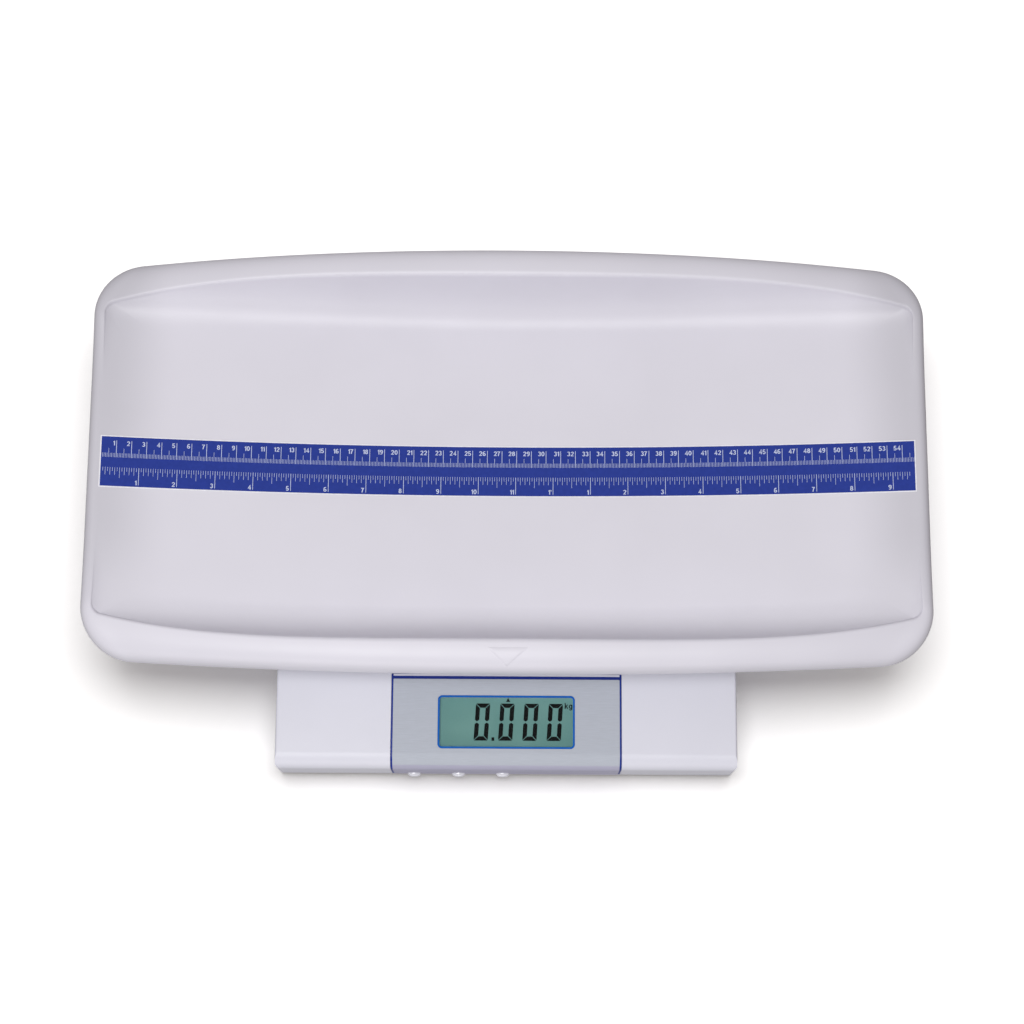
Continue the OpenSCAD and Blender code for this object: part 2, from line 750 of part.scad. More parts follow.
// A screw that points up, with its head's underside at z = 0.
module screw(d, head_d, head_h, length) {
  cross_width = 0.8;
  cross_length = head_d * 0.64;
  union() {
    difference() {
      translate([0, 0, -head_h]) cylinder(d = head_d, h = head_h);
      translate([0, 0, -head_h - past]) for (a = [0, 90]) rotate(a)
        translate([-cross_length / 2, -cross_width / 2, 0])
          cube([cross_length, cross_width, head_h / 2 + past]);
    }
    translate([0, 0, -head_h / 2]) cylinder(d = d, h = length + head_h / 2);
  }
}

module housing_screws() {
  color("silver") for (p = housing_screw_places)
    translate([p[0], p[1], housing_screw_seat])
      screw(screw_diameter, screw_head, screw_head_height, housing_screw_length);
}

// ---- Display --------------------------------------------------------------------------------------

module panel_bezel() {
  color("navy") difference() {
    intersection() {
      upper_block(-bezel_proud, parting_height);
      panel_prism(0, 0);
    }
    upper_block(panel_recess, parting_height - past);
    from_to(ceiling_z, deck_height + past) window_plan(fit_gap / 2);
    at_buttons(face_y - past, face_y + base_wall + past) button_shape(button_gap);
  }
}

module panel_facing() {
  color("lightsteelblue") difference() {
    intersection() {
      upper_block(-bezel_proud - facing_thickness, parting_height);
      panel_prism(panel_edge, panel_back_edge);
    }
    upper_block(-bezel_proud, parting_height - past);
    from_to(ceiling_z, deck_height + past) window_plan(fit_gap / 2);
    at_buttons(face_y - past, face_y + base_wall + past) button_shape(button_gap);
  }
}

facing_top = deck_height + bezel_proud + facing_thickness;
window_low = deck_height - panel_recess;
frame_proud = 0.1;
window_sink = 0.2;

module lcd_frame() {
  color("dodgerblue") difference() {
    from_to(window_low, facing_top + frame_proud) window_plan(0);
    from_to(window_low - past, facing_top + past) window_plan(-lcd_border);
  }
}

module lcd_window() {
  color([0.7, 0.85, 0.85, 0.4]) from_to(window_low, facing_top - window_sink)
    window_plan(-lcd_border - fit_gap / 4);
}

glass_size = [lcd_width + 2 * glass_margin, lcd_depth + 2 * glass_margin];

module lcd_glass() {
  color("cadetblue") from_to(glass_top - glass_thickness, glass_top)
    square_at(glass_size[0], glass_size[1], lcd_mid_y);
}

module square_at(w, d, y) {
  translate([-w / 2, y - d / 2]) square([w, d]);
}

module lcd_holder() {
  rim = 1.6;
  color("white") from_to(board_top, board_top + holder_thickness) difference() {
    square_at(glass_size[0], glass_size[1], lcd_mid_y);
    square_at(glass_size[0] - 2 * rim, glass_size[1] - 2 * rim, lcd_mid_y);
  }
}

module main_board() {
  color("darkgreen") from_to(board_top - board_thickness, board_top) difference() {
    square_at(board_size[0], board_size[1], lcd_mid_y);
    for (p = board_screw_places) translate(p) circle(d = small_hole);
  }
}

board_low = board_top - board_thickness;
socket_size = [10, 6, 5];
battery_socket_x = 24;
cell_socket_x = -battery_socket_x;
socket_inset = 1;
socket_y = lcd_mid_y + board_size[1] / 2 - socket_size[1] / 2 - socket_inset;

module board_parts() {
  chip = [12, 12, 1.6];
  crystal = [11, 4.6, 3.4];
  crystal_place = [28.5, 7.7];
  capacitor = [6.3, 7];
  capacitor_place = [28, 8];
  color("dimgray") {
    for (x = [cell_socket_x, battery_socket_x])
      translate([x - socket_size[0] / 2, socket_y - socket_size[1] / 2, board_low - socket_size[2]])
        cube(socket_size);
    from_to(board_low - chip[2], board_low) square_at(chip[0], chip[1], lcd_mid_y);
    translate([capacitor_place[0], lcd_mid_y - capacitor_place[1], board_low - capacitor[1]])
      cylinder(d = capacitor[0], h = capacitor[1]);
    translate([-crystal_place[0], 0, 0]) from_to(board_low - crystal[2], board_low)
      square_at(crystal[0], crystal[1], lcd_mid_y - crystal_place[1]);
  }
}

module board_screws() {
  color("silver") for (p = board_screw_places) translate([p[0], p[1], board_low])
    screw(small_screw, small_head, small_head_height, board_thickness + board_screw_bite);
}

// ---- Buttons --------------------------------------------------------------------------------------

module push_button(x) {
  nose = face_y - button_proud;
  soft = 0.8;
  color("lavender") translate([x, 0, button_z]) union() {
    along_y(nose, nose + soft) button_shape(-soft / 2);
    along_y(nose + soft / 2, flange_front + flange_thickness / 2) button_shape(0);
    along_y(flange_front, flange_back) button_shape(flange_rim);
    along_y(flange_back - flange_thickness / 2, plunger_front) circle(d = stem_diameter);
  }
}

module plunger(x) {
  color("black") translate([x, 0, button_z])
    along_y(plunger_front, switch_front + plunger_reach) circle(d = plunger_diameter);
}

module left_button() { push_button(button_xs[0]); }
module middle_button() { push_button(button_xs[1]); }
module right_button() { push_button(button_xs[2]); }
module left_plunger() { plunger(button_xs[0]); }
module middle_plunger() { plunger(button_xs[1]); }
module right_plunger() { plunger(button_xs[2]); }

module switch_bodies() {
  end_gap = 0.3;
  color("slategray") for (x = button_xs) translate([x, 0, button_z]) difference() {
    along_y(switch_front, button_board_y) square(switch_size, center = true);
    along_y(switch_front - past, switch_front + plunger_reach + button_travel + end_gap)
      circle(d = plunger_diameter + 2 * thread_gap);
  }
}

module button_board() {
  color("darkgreen") along_y(button_board_y, button_board_y + board_thickness) difference() {
    translate([button_board_ends[0], button_z - button_board_half_height])
      square([button_board_ends[1] - button_board_ends[0], 2 * button_board_half_height]);
    for (x = button_screw_xs) translate([x, button_z]) circle(d = small_hole);
  }
}

module button_board_screws() {
  color("silver") for (x = button_screw_xs)
    translate([x, button_board_y + board_thickness, button_z]) rotate([90, 0, 0])
      screw(small_screw, small_head, small_head_height, board_thickness + button_screw_bite);
}

// ---- Weighing unit --------------------------------------------------------------------------------

module base_plate() {
  corner = 4;
  color("lightgray") from_to(plate_low, plate_top) difference() {
    translate([0, tray_y]) rounded_rect(-plate_half, plate_half, [corner, corner, corner, corner]);
    for (x = cell_bolt_xs) translate([-x, tray_y]) circle(d = bolt_hole);
    translate([stop_x, tray_y]) circle(d = stop_diameter + 2 * thread_gap);
    for (p = plate_screw_places) translate(p) circle(d = screw_hole);
  }
}

module plate_screws() {
  color("silver") for (p = plate_screw_places)
    translate([p[0], p[1], plate_top]) rotate([180, 0, 0])
      screw(screw_diameter, screw_head, screw_head_height, plate_top - foot_height - blind_floor);
}

// The beam's window is two bores joined by a slot, which lets the free end sink level.
module load_cell() {
  thin_beam = 4;
  bore = cell_height - 2 * thin_beam;
  bore_x = 11;
  slot = 8;
  color("lightgray") difference() {
    from_to(cell_low, cell_top) square_at(cell_length, cell_width, tray_y);
    translate([0, 0, (cell_low + cell_top) / 2])
      along_y(tray_y - cell_width / 2 - past, tray_y + cell_width / 2 + past) union() {
        for (sx = [-1, 1]) translate([sx * bore_x, 0]) circle(d = bore);
        square([2 * bore_x, slot], center = true);
      }
    for (sx = [-1, 1]) for (x = cell_bolt_xs) translate([sx * x, tray_y, cell_low - past])
      cylinder(d = bolt_hole, h = cell_height + 2 * past);
  }
}

module gauge_covers() {
  length = 34;
  thickness = 0.8;
  margin = 4;
  color("white") for (z = [cell_low - thickness, cell_top])
    from_to(z, z + thickness) square_at(length, cell_width - 2 * margin, tray_y);
}

module cell_spacer(side, z) {
  corner = 2;
  x = cell_half - spacer_length / 2;
  color("darkgray") from_to(z, z + spacer_thickness) difference() {
    translate([side * x, tray_y]) rounded_rect(
      [-spacer_length / 2, -cell_width / 2], [spacer_length / 2, cell_width / 2],
      [corner, corner, corner, corner]);
    for (b = cell_bolt_xs) translate([side * b, tray_y]) circle(d = bolt_hole);
  }
}

module lower_spacer() { cell_spacer(-1, plate_top); }
module upper_spacer() { cell_spacer(1, cell_top); }

module lower_cell_bolts() {
  color("silver") for (x = cell_bolt_xs) translate([-x, tray_y, plate_low])
    hex_bolt(bolt_head_height, plate_thickness + spacer_thickness + bolt_bite);
}

module upper_cell_bolts() {
  color("silver") for (x = cell_bolt_xs) translate([x, tray_y, frame_top]) rotate([180, 0, 0])
    hex_bolt(low_head_height, frame_thickness + spacer_thickness + bolt_bite);
}

// A socket-head bolt that points up, with its head's underside at z = 0.
module hex_bolt(head_h, length) {
  socket = 4.6;
  socket_depth = head_h * 0.6;
  shank_start = -head_h * 0.3;
  union() {
    difference() {
      translate([0, 0, -head_h]) cylinder(d = bolt_head, h = head_h);
      translate([0, 0, -head_h - past]) cylinder(d = socket, h = socket_depth + past, $fn = 6);
    }
    translate([0, 0, shank_start]) cylinder(d = bolt_diameter, h = length - shank_start);
  }
}

stop_x = cell_half - cell_bolt_inset - cell_bolt_pitch / 2;
stop_diameter = 5;

module overload_stop() {
  start = plate_low + fit_gap;
  color("silver") translate([stop_x, tray_y, start])
    cylinder(d = stop_diameter, h = cell_low - overload_gap - start);
}

module overload_nut() {
  width = 9;
  below_stop = 0.4;
  color("silver") translate([stop_x, tray_y, plate_top]) difference() {
    cylinder(d = width, h = spacer_thickness - overload_gap - below_stop, $fn = 6);
    translate([0, 0, -past])
      cylinder(d = stop_diameter + 2 * thread_gap, h = spacer_thickness + 2 * past);
  }
}

arm_margin = 2;
frame_arm = post_diameter + 2 * arm_margin;
spine_margin = 4;
frame_spine = cell_width + 2 * spine_margin;
frame_flange = 3;
flange_wall = 2;

module platform_frame() {
  color("gray") difference() {
    union() {
      from_to(frame_low, frame_top) translate([0, tray_y]) union() {
        square([post_spacing_x, frame_spine], center = true);
        for (sx = [-1, 1]) translate([sx * post_spacing_x / 2, 0]) {
          square([frame_arm, post_spacing_y], center = true);
          for (sy = [-1, 1]) translate([0, sy * post_spacing_y / 2]) circle(d = frame_arm);
        }
      }
      // turned-down flanges stiffen the spine on both sides of the load cell
      for (sy = [-1, 1])
        translate([0, sy * (frame_spine - flange_wall) / 2, 0])
          from_to(frame_low - frame_flange, frame_low + past)
            square_at(post_spacing_x - frame_arm + 2 * past, flange_wall, tray_y);
    }
    for (x = cell_bolt_xs) translate([x, tray_y, frame_low - past])
      cylinder(d = bolt_hole, h = frame_thickness + 2 * past);
    at_posts() translate([0, 0, frame_low - past])
      cylinder(d = post_screw + 2 * thread_gap, h = frame_thickness + 2 * past);
    // lightening holes in the arms
    for (sx = [-1, 1]) for (sy = [-1, 1])
      translate([sx * post_spacing_x / 2, tray_y + sy * post_spacing_y / 4, frame_low - past])
        cylinder(d = frame_arm / 2, h = frame_thickness + 2 * past);
  }
}

post_screw = 4;
post_screw_head = [8, 2.4];
post_screw_bite = 8;
cushion_thickness = 4;
cushion_skirt = 2.5;
post_top = seat_z - cushion_thickness;

module platform_posts() {
  color("whitesmoke") at_posts() translate([0, 0, frame_top]) difference() {
    cylinder(d = post_diameter, h = post_top - frame_top);
    translate([0, 0, -past])
      cylinder(d = post_screw + 2 * thread_gap, h = post_screw_bite + hole_spare + past);
  }
}

module post_screws() {
  color("silver") at_posts() translate([0, 0, frame_low])
    screw(post_screw, post_screw_head[0], post_screw_head[1], frame_thickness + post_screw_bite);
}

module tray_cushions() {
  color("dimgray") at_posts() translate([0, 0, post_top]) difference() {
    translate([0, 0, -cushion_skirt])
      cylinder(d = cushion_diameter, h = cushion_thickness + cushion_skirt);
    translate([0, 0, -cushion_skirt - past])
      cylinder(d = post_diameter + 2 * fit_gap, h = cushion_skirt + past);
  }
}

// ---- Leads ----------------------------------------------------------------------------------------

lead_diameter = 3;
lead_sides = 8;
lead_bend = 10;
lead_rise = 5;

// A tube swept along a route, its rings square to the way the route runs.
function route_way(r, i) =
  let (d = r[min(i + 1, len(r) - 1)] - r[max(i - 1, 0)]) d / norm(d);
function lead_ring(r, i) =
  let (
    w = route_way(r, i),
    side = abs(w[2]) < 0.9 ? cross(w, [0, 0, 1]) : cross(w, [0, 1, 0]),
    u = side / norm(side), v = cross(w, u)
  )
  [for (k = [0 : lead_sides - 1])
    r[i] + lead_diameter / 2 * (u * cos(k * 360 / lead_sides) + v * sin(k * 360 / lead_sides))];
// Points added by one smooth pass between the chosen ones.
function smooth(r) = let (n = len(r)) concat(
  [r[0]],
  [for (i = [0 : n - 2]) each [r[i] * 0.75 + r[i + 1] * 0.25, r[i] * 0.25 + r[i + 1] * 0.75]],
  [r[n - 1]]
);

module lead(route) {
  r = smooth(smooth(route));
  n = len(r);
  polyhedron(
    [for (i = [0 : n - 1]) each lead_ring(r, i)],
    concat(
      [[for (k = [0 : lead_sides - 1]) k]],
      [[for (k = [lead_sides - 1 : -1 : 0]) (n - 1) * lead_sides + k]],
      [for (i = [0 : n - 2]) for (k = [0 : lead_sides - 1])
        let (a = i * lead_sides + k, b = i * lead_sides + (k + 1) % lead_sides)
        each [[a, a + lead_sides, b + lead_sides], [a, b + lead_sides, b]]]
    ),
    convexity = 4
  );
}

lead_end_z = board_low - socket_size[2] / 2;
socket_back = socket_y + socket_size[1] / 2;

module cell_lead() {
  color("gray") lead([
    [cell_socket_x, tray_y - cell_width / 2, cell_low + lead_rise],
    [cell_socket_x, tray_y - cell_width / 2 - lead_bend, cell_low + lead_rise],
    [cell_socket_x, tray_y - cell_width / 2 - 2 * lead_bend, cell_low],
    [cell_socket_x, socket_back + 2 * lead_bend, cell_low],
    [cell_socket_x, socket_back + lead_bend, lead_end_z],
    [cell_socket_x, socket_back, lead_end_z]
  ]);
}

module battery_leads() {
  color("firebrick") lead([
    [box_half + box_wall, box_front + lead_bend, battery_z],
    [box_half + box_wall + lead_bend, box_front + lead_bend, battery_z],
    [plate_half[0] + lead_bend, box_front - lead_bend, battery_z],
    [plate_half[0] + lead_bend, tray_y - cell_width / 2 - 2 * lead_bend, battery_z],
    [battery_socket_x + lead_bend, socket_back + 3 * lead_bend, battery_z + lead_rise],
    [battery_socket_x, socket_back + lead_bend, lead_end_z],
    [battery_socket_x, socket_back, lead_end_z]
  ]);
}

// ---- Batteries ------------------------------------------------------------------------------------

battery_ys = [for (i = [0 : battery_rows - 1])
  (box_front + box_back) / 2 + (i - (battery_rows - 1) / 2) * battery_pitch];
cap_length = 1.4;
cap_diameter = 5.5;

module batteries() {
  color("slateblue") for (sx = [-1, 1]) for (i = [0 : battery_rows - 1])
    translate([sx * bay_mid_x, battery_ys[i], battery_z])
      rotate([0, i % 2 == 0 ? 90 : -90, 0]) translate([0, 0, -battery_length / 2]) union() {
        cylinder(d = battery_diameter, h = battery_length - cap_length);
        translate([0, 0, battery_length - 2 * cap_length])
          cylinder(d = cap_diameter, h = 2 * cap_length);
      }
}

// Each contact is a plate against its bay's end wall, with a tongue bent towards the battery.
module battery_contacts() {
  sheet = 0.5;
  side_gap = 1.6;
  half = battery_pitch / 2 - side_gap;
  near = battery_length / 2;
  far = near + contact_space;
  tall = 6;
  color("gold") for (sx = [-1, 1]) for (y = battery_ys) for (end = [0, 1])
    translate([sx * bay_mid_x, y, battery_z]) mirror([end, 0, 0])
      along_y(-half, half) polygon([
        [far, -tall], [far, tall], [far - sheet, tall], [far - sheet, -tall + 1],
        [near + sheet, 0], [far - 2 * sheet, tall - 1], [far - 3 * sheet, tall - 1],
        [near, sheet / 2], [near, -sheet / 2], [far - sheet, -tall]
      ]);
}

module battery_door() {
  grips = 7;
  grip_pitch = 2.4;
  grip_size = [24, 1, 0.5];
  grip_start = back_y - 8;
  color("gainsboro") difference() {
    union() {
      translate([-door_half, door_front, door_low])
        cube([2 * door_half, back_y - door_front, door_thickness]);
      translate([-door_half - rail_depth, door_front, rail_low])
        cube([2 * (door_half + rail_depth), back_y - door_front - base_wall, rail_height]);
    }
    // finger grooves near the back edge
    for (i = [0 : grips - 1])
      translate([-grip_size[0] / 2, grip_start - i * grip_pitch, door_low - past])
        cube([grip_size[0], grip_size[1], past + grip_size[2]]);
  }
}

tray();
ruler_strip();
top_housing();
bottom_cover();
panel_bezel();
panel_facing();
lcd_frame();
lcd_window();
lcd_glass();
lcd_holder();
main_board();
board_parts();
board_screws();
button_board();
button_board_screws();
switch_bodies();
left_button();
left_plunger();
middle_button();
middle_plunger();
right_button();
right_plunger();
base_plate();
plate_screws();
load_cell();
gauge_covers();
lower_spacer();
lower_cell_bolts();
overload_stop();
overload_nut();
upper_spacer();
upper_cell_bolts();
platform_frame();
platform_posts();
post_screws();
tray_cushions();
cell_lead();
battery_leads();
batteries();
battery_contacts();
battery_door();
rubber_feet();
housing_screws();
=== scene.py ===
import json
import math

import bmesh
import bpy
from mathutils import Matrix, Vector
from mathutils.bvhtree import BVHTree


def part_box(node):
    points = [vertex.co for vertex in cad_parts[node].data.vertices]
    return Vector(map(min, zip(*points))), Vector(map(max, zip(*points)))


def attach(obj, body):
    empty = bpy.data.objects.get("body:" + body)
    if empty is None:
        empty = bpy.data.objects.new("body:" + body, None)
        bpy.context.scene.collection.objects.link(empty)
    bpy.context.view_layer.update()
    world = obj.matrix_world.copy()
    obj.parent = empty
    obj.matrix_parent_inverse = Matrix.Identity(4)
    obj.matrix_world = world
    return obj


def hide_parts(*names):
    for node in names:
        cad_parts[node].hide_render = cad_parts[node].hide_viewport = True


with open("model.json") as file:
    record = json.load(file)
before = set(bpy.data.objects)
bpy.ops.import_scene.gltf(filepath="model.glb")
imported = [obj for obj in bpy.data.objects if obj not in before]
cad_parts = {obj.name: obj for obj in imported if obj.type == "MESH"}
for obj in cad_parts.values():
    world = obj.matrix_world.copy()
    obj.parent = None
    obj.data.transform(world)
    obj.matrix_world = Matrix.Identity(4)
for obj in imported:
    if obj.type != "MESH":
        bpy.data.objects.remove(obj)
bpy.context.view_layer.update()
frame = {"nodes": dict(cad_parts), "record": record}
nodes = frame["nodes"]

MM = 0.001

# ---- Driving sizes, in millimetres ----------------------------------------------------------------

TRAY_LOW, TRAY_HIGH = (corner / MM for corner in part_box("tray"))
TRAY_Y = (TRAY_LOW.y + TRAY_HIGH.y) / 2
HALF_LENGTH = (TRAY_HIGH.x - TRAY_LOW.x) / 2
HALF_DEPTH = (TRAY_HIGH.y - TRAY_LOW.y) / 2
TRAY_WALL = 3.0

# The floor at the tray's middle, and its rise from there to the ends
FLOOR_Z = 67.0
FLOOR_RISE = 26.5

# The crest over the floor at the middle of the long sides, its fall from there to the corners,
# and the lip that is left at the ends
WALL_HEIGHT = 41.0
CREST_DROP = 12.0
END_LIP = 0.4
CREST_RADIUS = 3.0

# How far the outer edge and the crest bow out along the long sides
SIDE_BULGE = 8.4
CREST_BULGE = 17.0

# The wall from its foot to the crest in plan, along the sides and at the ends
WALL_RUN = 28.5
END_WALL_RUN = 18.0

# The rim from the crest to the outer edge in plan, and how far it turns down
RIM_WIDTH = 21.2
END_RIM_WIDTH = 9.0
RIM_DROP = 18.0
END_RIM_DROP = 12.0

# Corner radii in plan of the outer edge, the crest and the wall's foot
TRAY_CORNER = 37.0
CREST_CORNER = 8.0
FOOT_CORNER = 14.0

# The base's front face
FACE_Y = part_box("top_housing")[0].y / MM


# ---- Small helpers --------------------------------------------------------------------------------

def mix(a, b, t):
    return a + (b - a) * t


def cubic(p, t):
    """A point of a cubic curve with four control points."""
    weights = ((1 - t) ** 3, 3 * (1 - t) ** 2 * t, 3 * (1 - t) * t * t, t ** 3)
    return tuple(sum(w * q[axis] for w, q in zip(weights, p)) for axis in range(2))


def quadratic(a, b, c, t):
    """A point of a quadratic curve with three control points."""
    weights = ((1 - t) ** 2, 2 * (1 - t) * t, t * t)
    return tuple(weights[0] * a[k] + weights[1] * b[k] + weights[2] * c[k] for k in range(2))


def srgb(red, green, blue):
    """A colour written as 0 to 255 display values, as the linear colour that a shader takes."""
    def linear(value):
        value /= 255
        return value / 12.92 if value <= 0.04045 else ((value + 0.055) / 1.055) ** 2.4
    return (linear(red), linear(green), linear(blue), 1.0)


def add_mesh(name, points, faces, material, smooth=True):
    """A mesh from points in millimetres."""
    mesh = bpy.data.meshes.new(name)
    mesh.from_pydata([tuple(c * MM for c in p) for p in points], [], faces)
    mesh.validate()
    mesh.polygons.foreach_set("use_smooth", [smooth] * len(mesh.polygons))
    mesh.update()
    piece = bpy.data.objects.new(name, mesh)
    bpy.context.scene.collection.objects.link(piece)
    mesh.materials.append(material)
    return piece


def sharpen(piece, degrees):
    """Shades smoothly, but keeps edges over this angle sharp."""
    mesh = piece.data
    limit = math.radians(degrees)
    work = bmesh.new()
    work.from_mesh(mesh)
    for edge in work.edges:
        edge.smooth = not edge.is_manifold or edge.calc_face_angle(0) < limit
    for face in work.faces:
        face.smooth = True
    work.to_mesh(mesh)
    work.free()


# ---- Materials ------------------------------------------------------------------------------------

def new_material(name):
    material = bpy.data.materials.new(name)
    material.use_nodes = True
    tree = material.node_tree
    return material, tree, tree.nodes["Principled BSDF"]


def add_node(tree, kind, **settings):
    node = tree.nodes.new(kind)
    for key, value in settings.items():
        if key in node.inputs:
            node.inputs[key].default_value = value
        else:
            setattr(node, key, value)
    return node


def noise(tree, scale, detail=3.0, stretch=(1, 1, 1)):
    """Noise in object coordinates; scale is in cycles a metre."""
    place = add_node(tree, "ShaderNodeTexCoord")
    mapping = add_node(tree, "ShaderNodeMapping")
    mapping.inputs["Scale"].default_value = stretch
    texture = add_node(tree, "ShaderNodeTexNoise", Scale=scale, Detail=detail)
    tree.links.new(place.outputs["Object"], mapping.inputs["Vector"])
    tree.links.new(mapping.outputs["Vector"], texture.inputs["Vector"])
    return texture.outputs["Fac"]


def ramp(tree, source, stops):
    """A colour ramp with (place, colour) stops."""
    node = add_node(tree, "ShaderNodeValToRGB")
    elements = node.color_ramp.elements
    for element, (place, colour) in zip(elements, stops):
        element.position = place
        element.color = colour
    for place, colour in stops[2:]:
        elements.new(place).color = colour
    tree.links.new(source, node.inputs["Fac"])
    return node.outputs["Color"]


def bump(tree, shader, source, strength, distance):
    node = add_node(tree, "ShaderNodeBump", Strength=strength, Distance=distance)
    tree.links.new(source, node.inputs["Height"])
    tree.links.new(node.outputs["Normal"], shader.inputs["Normal"])


def vary_roughness(tree, shader, source, low, high):
    node = add_node(tree, "ShaderNodeMapRange")
    node.inputs["To Min"].default_value = low
    node.inputs["To Max"].default_value = high
    tree.links.new(source, node.inputs["Value"])
    tree.links.new(node.outputs["Result"], shader.inputs["Roughness"])


def moulded(name, colour, rough=(0.28, 0.38), grain=900.0, depth=0.00004, coat=0.0, shade=0.03):
    """Moulded plastic: a faint cloudy tint, uneven gloss and a fine skin."""
    material, tree, shader = new_material(name)
    cloud = noise(tree, 14.0, 2.0)
    dark = tuple(c * (1 - shade) for c in colour[:3]) + (1.0,)
    tree.links.new(ramp(tree, cloud, [(0.3, dark), (0.7, colour)]), shader.inputs["Base Color"])
    vary_roughness(tree, shader, noise(tree, 60.0), rough[0], rough[1])
    bump(tree, shader, noise(tree, grain, 4.0), 0.25, depth)
    shader.inputs["IOR"].default_value = 1.49
    shader.inputs["Coat Weight"].default_value = coat
    shader.inputs["Coat Roughness"].default_value = 0.12
    return material


def brushed(name, colour, rough, metallic=1.0, shine=0.5):
    """Metal, or a metallic print, with fine lines along X."""
    material, tree, shader = new_material(name)
    lines = noise(tree, 120.0, 5.0, stretch=(1, 60, 60))
    dark = tuple(c * 0.86 for c in colour[:3]) + (1.0,)
    tree.links.new(ramp(tree, lines, [(0.3, dark), (0.7, colour)]), shader.inputs["Base Color"])
    vary_roughness(tree, shader, lines, rough[0], rough[1])
    bump(tree, shader, lines, 0.2, 0.00002)
    shader.inputs["Metallic"].default_value = metallic
    shader.inputs["Specular IOR Level"].default_value = shine
    return material


def print_ink(name, colour, rough=0.4, shine=0.5):
    """Printed ink with slightly uneven cover."""
    material, tree, shader = new_material(name)
    dark = tuple(c * 0.9 for c in colour[:3]) + (1.0,)
    tree.links.new(ramp(tree, noise(tree, 400.0), [(0.35, dark), (0.65, colour)]),
                   shader.inputs["Base Color"])
    vary_roughness(tree, shader, noise(tree, 150.0), rough - 0.05, rough + 0.05)
    shader.inputs["Specular IOR Level"].default_value = shine
    return material


def tint(material, axis, places, colour, back=None):
    """Paints shade into the base colour: multiplies it by a darker one, which comes in between two
    distances from the middle along an axis, in metres; with back it also comes in between two places
    along Y."""
    tree = material.node_tree
    shader = tree.nodes["Principled BSDF"]
    plain = shader.inputs["Base Color"].links[0].from_socket
    place = add_node(tree, "ShaderNodeTexCoord")
    split = add_node(tree, "ShaderNodeSeparateXYZ")
    tree.links.new(place.outputs["Object"], split.inputs[0])

    def comes_in(source, places):
        step = add_node(tree, "ShaderNodeMapRange", interpolation_type="SMOOTHSTEP")
        step.inputs["From Min"].default_value, step.inputs["From Max"].default_value = places
        tree.links.new(source, step.inputs["Value"])
        return step.outputs["Result"]

    distance = add_node(tree, "ShaderNodeMath", operation="ABSOLUTE")
    tree.links.new(split.outputs[axis], distance.inputs[0])
    amount = comes_in(distance.outputs[0], places)
    if back:
        both = add_node(tree, "ShaderNodeMath", operation="MULTIPLY")
        tree.links.new(amount, both.inputs[0])
        tree.links.new(comes_in(split.outputs["Y"], back), both.inputs[1])
        amount = both.outputs[0]
    blend = add_node(tree, "ShaderNodeMixRGB", blend_type="MULTIPLY")
    blend.inputs["Color2"].default_value = colour
    tree.links.new(amount, blend.inputs["Fac"])
    tree.links.new(plain, blend.inputs["Color1"])
    tree.links.new(blend.outputs[0], shader.inputs["Base Color"])


def clear_window():
    """The thin window over the display, which is all but clear and hardly shines."""
    material, tree, shader = new_material("window_clear")
    shader.inputs["Base Color"].default_value = (0.1, 0.14, 0.14, 1.0)
    shader.inputs["Alpha"].default_value = 0.02
    shader.inputs["Specular IOR Level"].default_value = 0.05
    vary_roughness(tree, shader, noise(tree, 80.0), 0.02, 0.06)
    return material


def lcd_green():
    """Display glass: grey-green and faintly mottled."""
    material, tree, shader = new_material("lcd_green")
    cloud = noise(tree, 30.0, 2.0)
    mottled = ramp(tree, cloud, [(0.3, srgb(101, 146, 141)), (0.7, srgb(112, 156, 150))])
    tree.links.new(mottled, shader.inputs["Base Color"])
    vary_roughness(tree, shader, noise(tree, 200.0), 0.5, 0.6)
    shader.inputs["Specular IOR Level"].default_value = 0.1
    return material


WHITE = moulded("tray_white", srgb(219, 217, 227), rough=(0.42, 0.5))
HOUSING_WHITE = moulded("housing_white", srgb(218, 218, 229), rough=(0.4, 0.5))
COVER_WHITE = moulded("cover_white", srgb(205, 204, 208), rough=(0.5, 0.62), grain=2400.0,
                      depth=0.00012)
RUBBER = moulded("rubber_grey", srgb(62, 62, 66), rough=(0.6, 0.75), grain=1800.0, depth=0.0001)
BUTTON_WHITE = moulded("button_white", srgb(214, 214, 222), rough=(0.16, 0.24), coat=0.5)
BLACK = moulded("part_black", srgb(26, 26, 29), rough=(0.4, 0.5))
BEZEL_BLUE = print_ink("bezel_blue", srgb(30, 50, 138), 0.35, shine=0.15)
LCD_BLUE = print_ink("lcd_blue", srgb(14, 96, 186), 0.5, shine=0.1)
FACING = brushed("panel_silver", srgb(185, 190, 201), (0.5, 0.6), metallic=0.0, shine=0.3)
BOARD = moulded("board_green", srgb(22, 92, 52), rough=(0.25, 0.35), grain=1500.0)
STEEL = brushed("plated_steel", srgb(190, 190, 194), (0.28, 0.42))
ALUMINIUM = brushed("machined_aluminium", srgb(205, 206, 210), (0.3, 0.45))
POWDER = moulded("powder_grey", srgb(104, 106, 110), rough=(0.5, 0.6), grain=2600.0, depth=0.0001)
HOLDER = moulded("holder_white", srgb(228, 228, 226), rough=(0.4, 0.5))
SEALANT = moulded("potting_white", srgb(232, 231, 226), rough=(0.45, 0.55), grain=300.0)
GREY_LEAD = moulded("lead_grey", srgb(120, 120, 124), rough=(0.4, 0.5))
RED_LEAD = moulded("lead_red", srgb(168, 34, 30), rough=(0.35, 0.45))
SLEEVE = print_ink("battery_sleeve", srgb(78, 86, 138), 0.3)
NICKEL = brushed("contact_nickel", srgb(202, 196, 180), (0.25, 0.35))
RULER_BLUE = print_ink("ruler_blue", srgb(42, 61, 149), 0.6, shine=0.1)
RULER_LIGHT = print_ink("ruler_light", srgb(205, 214, 240), 0.6, shine=0.1)
RULER_EDGE = print_ink("ruler_edge", srgb(240, 240, 246), 0.35)
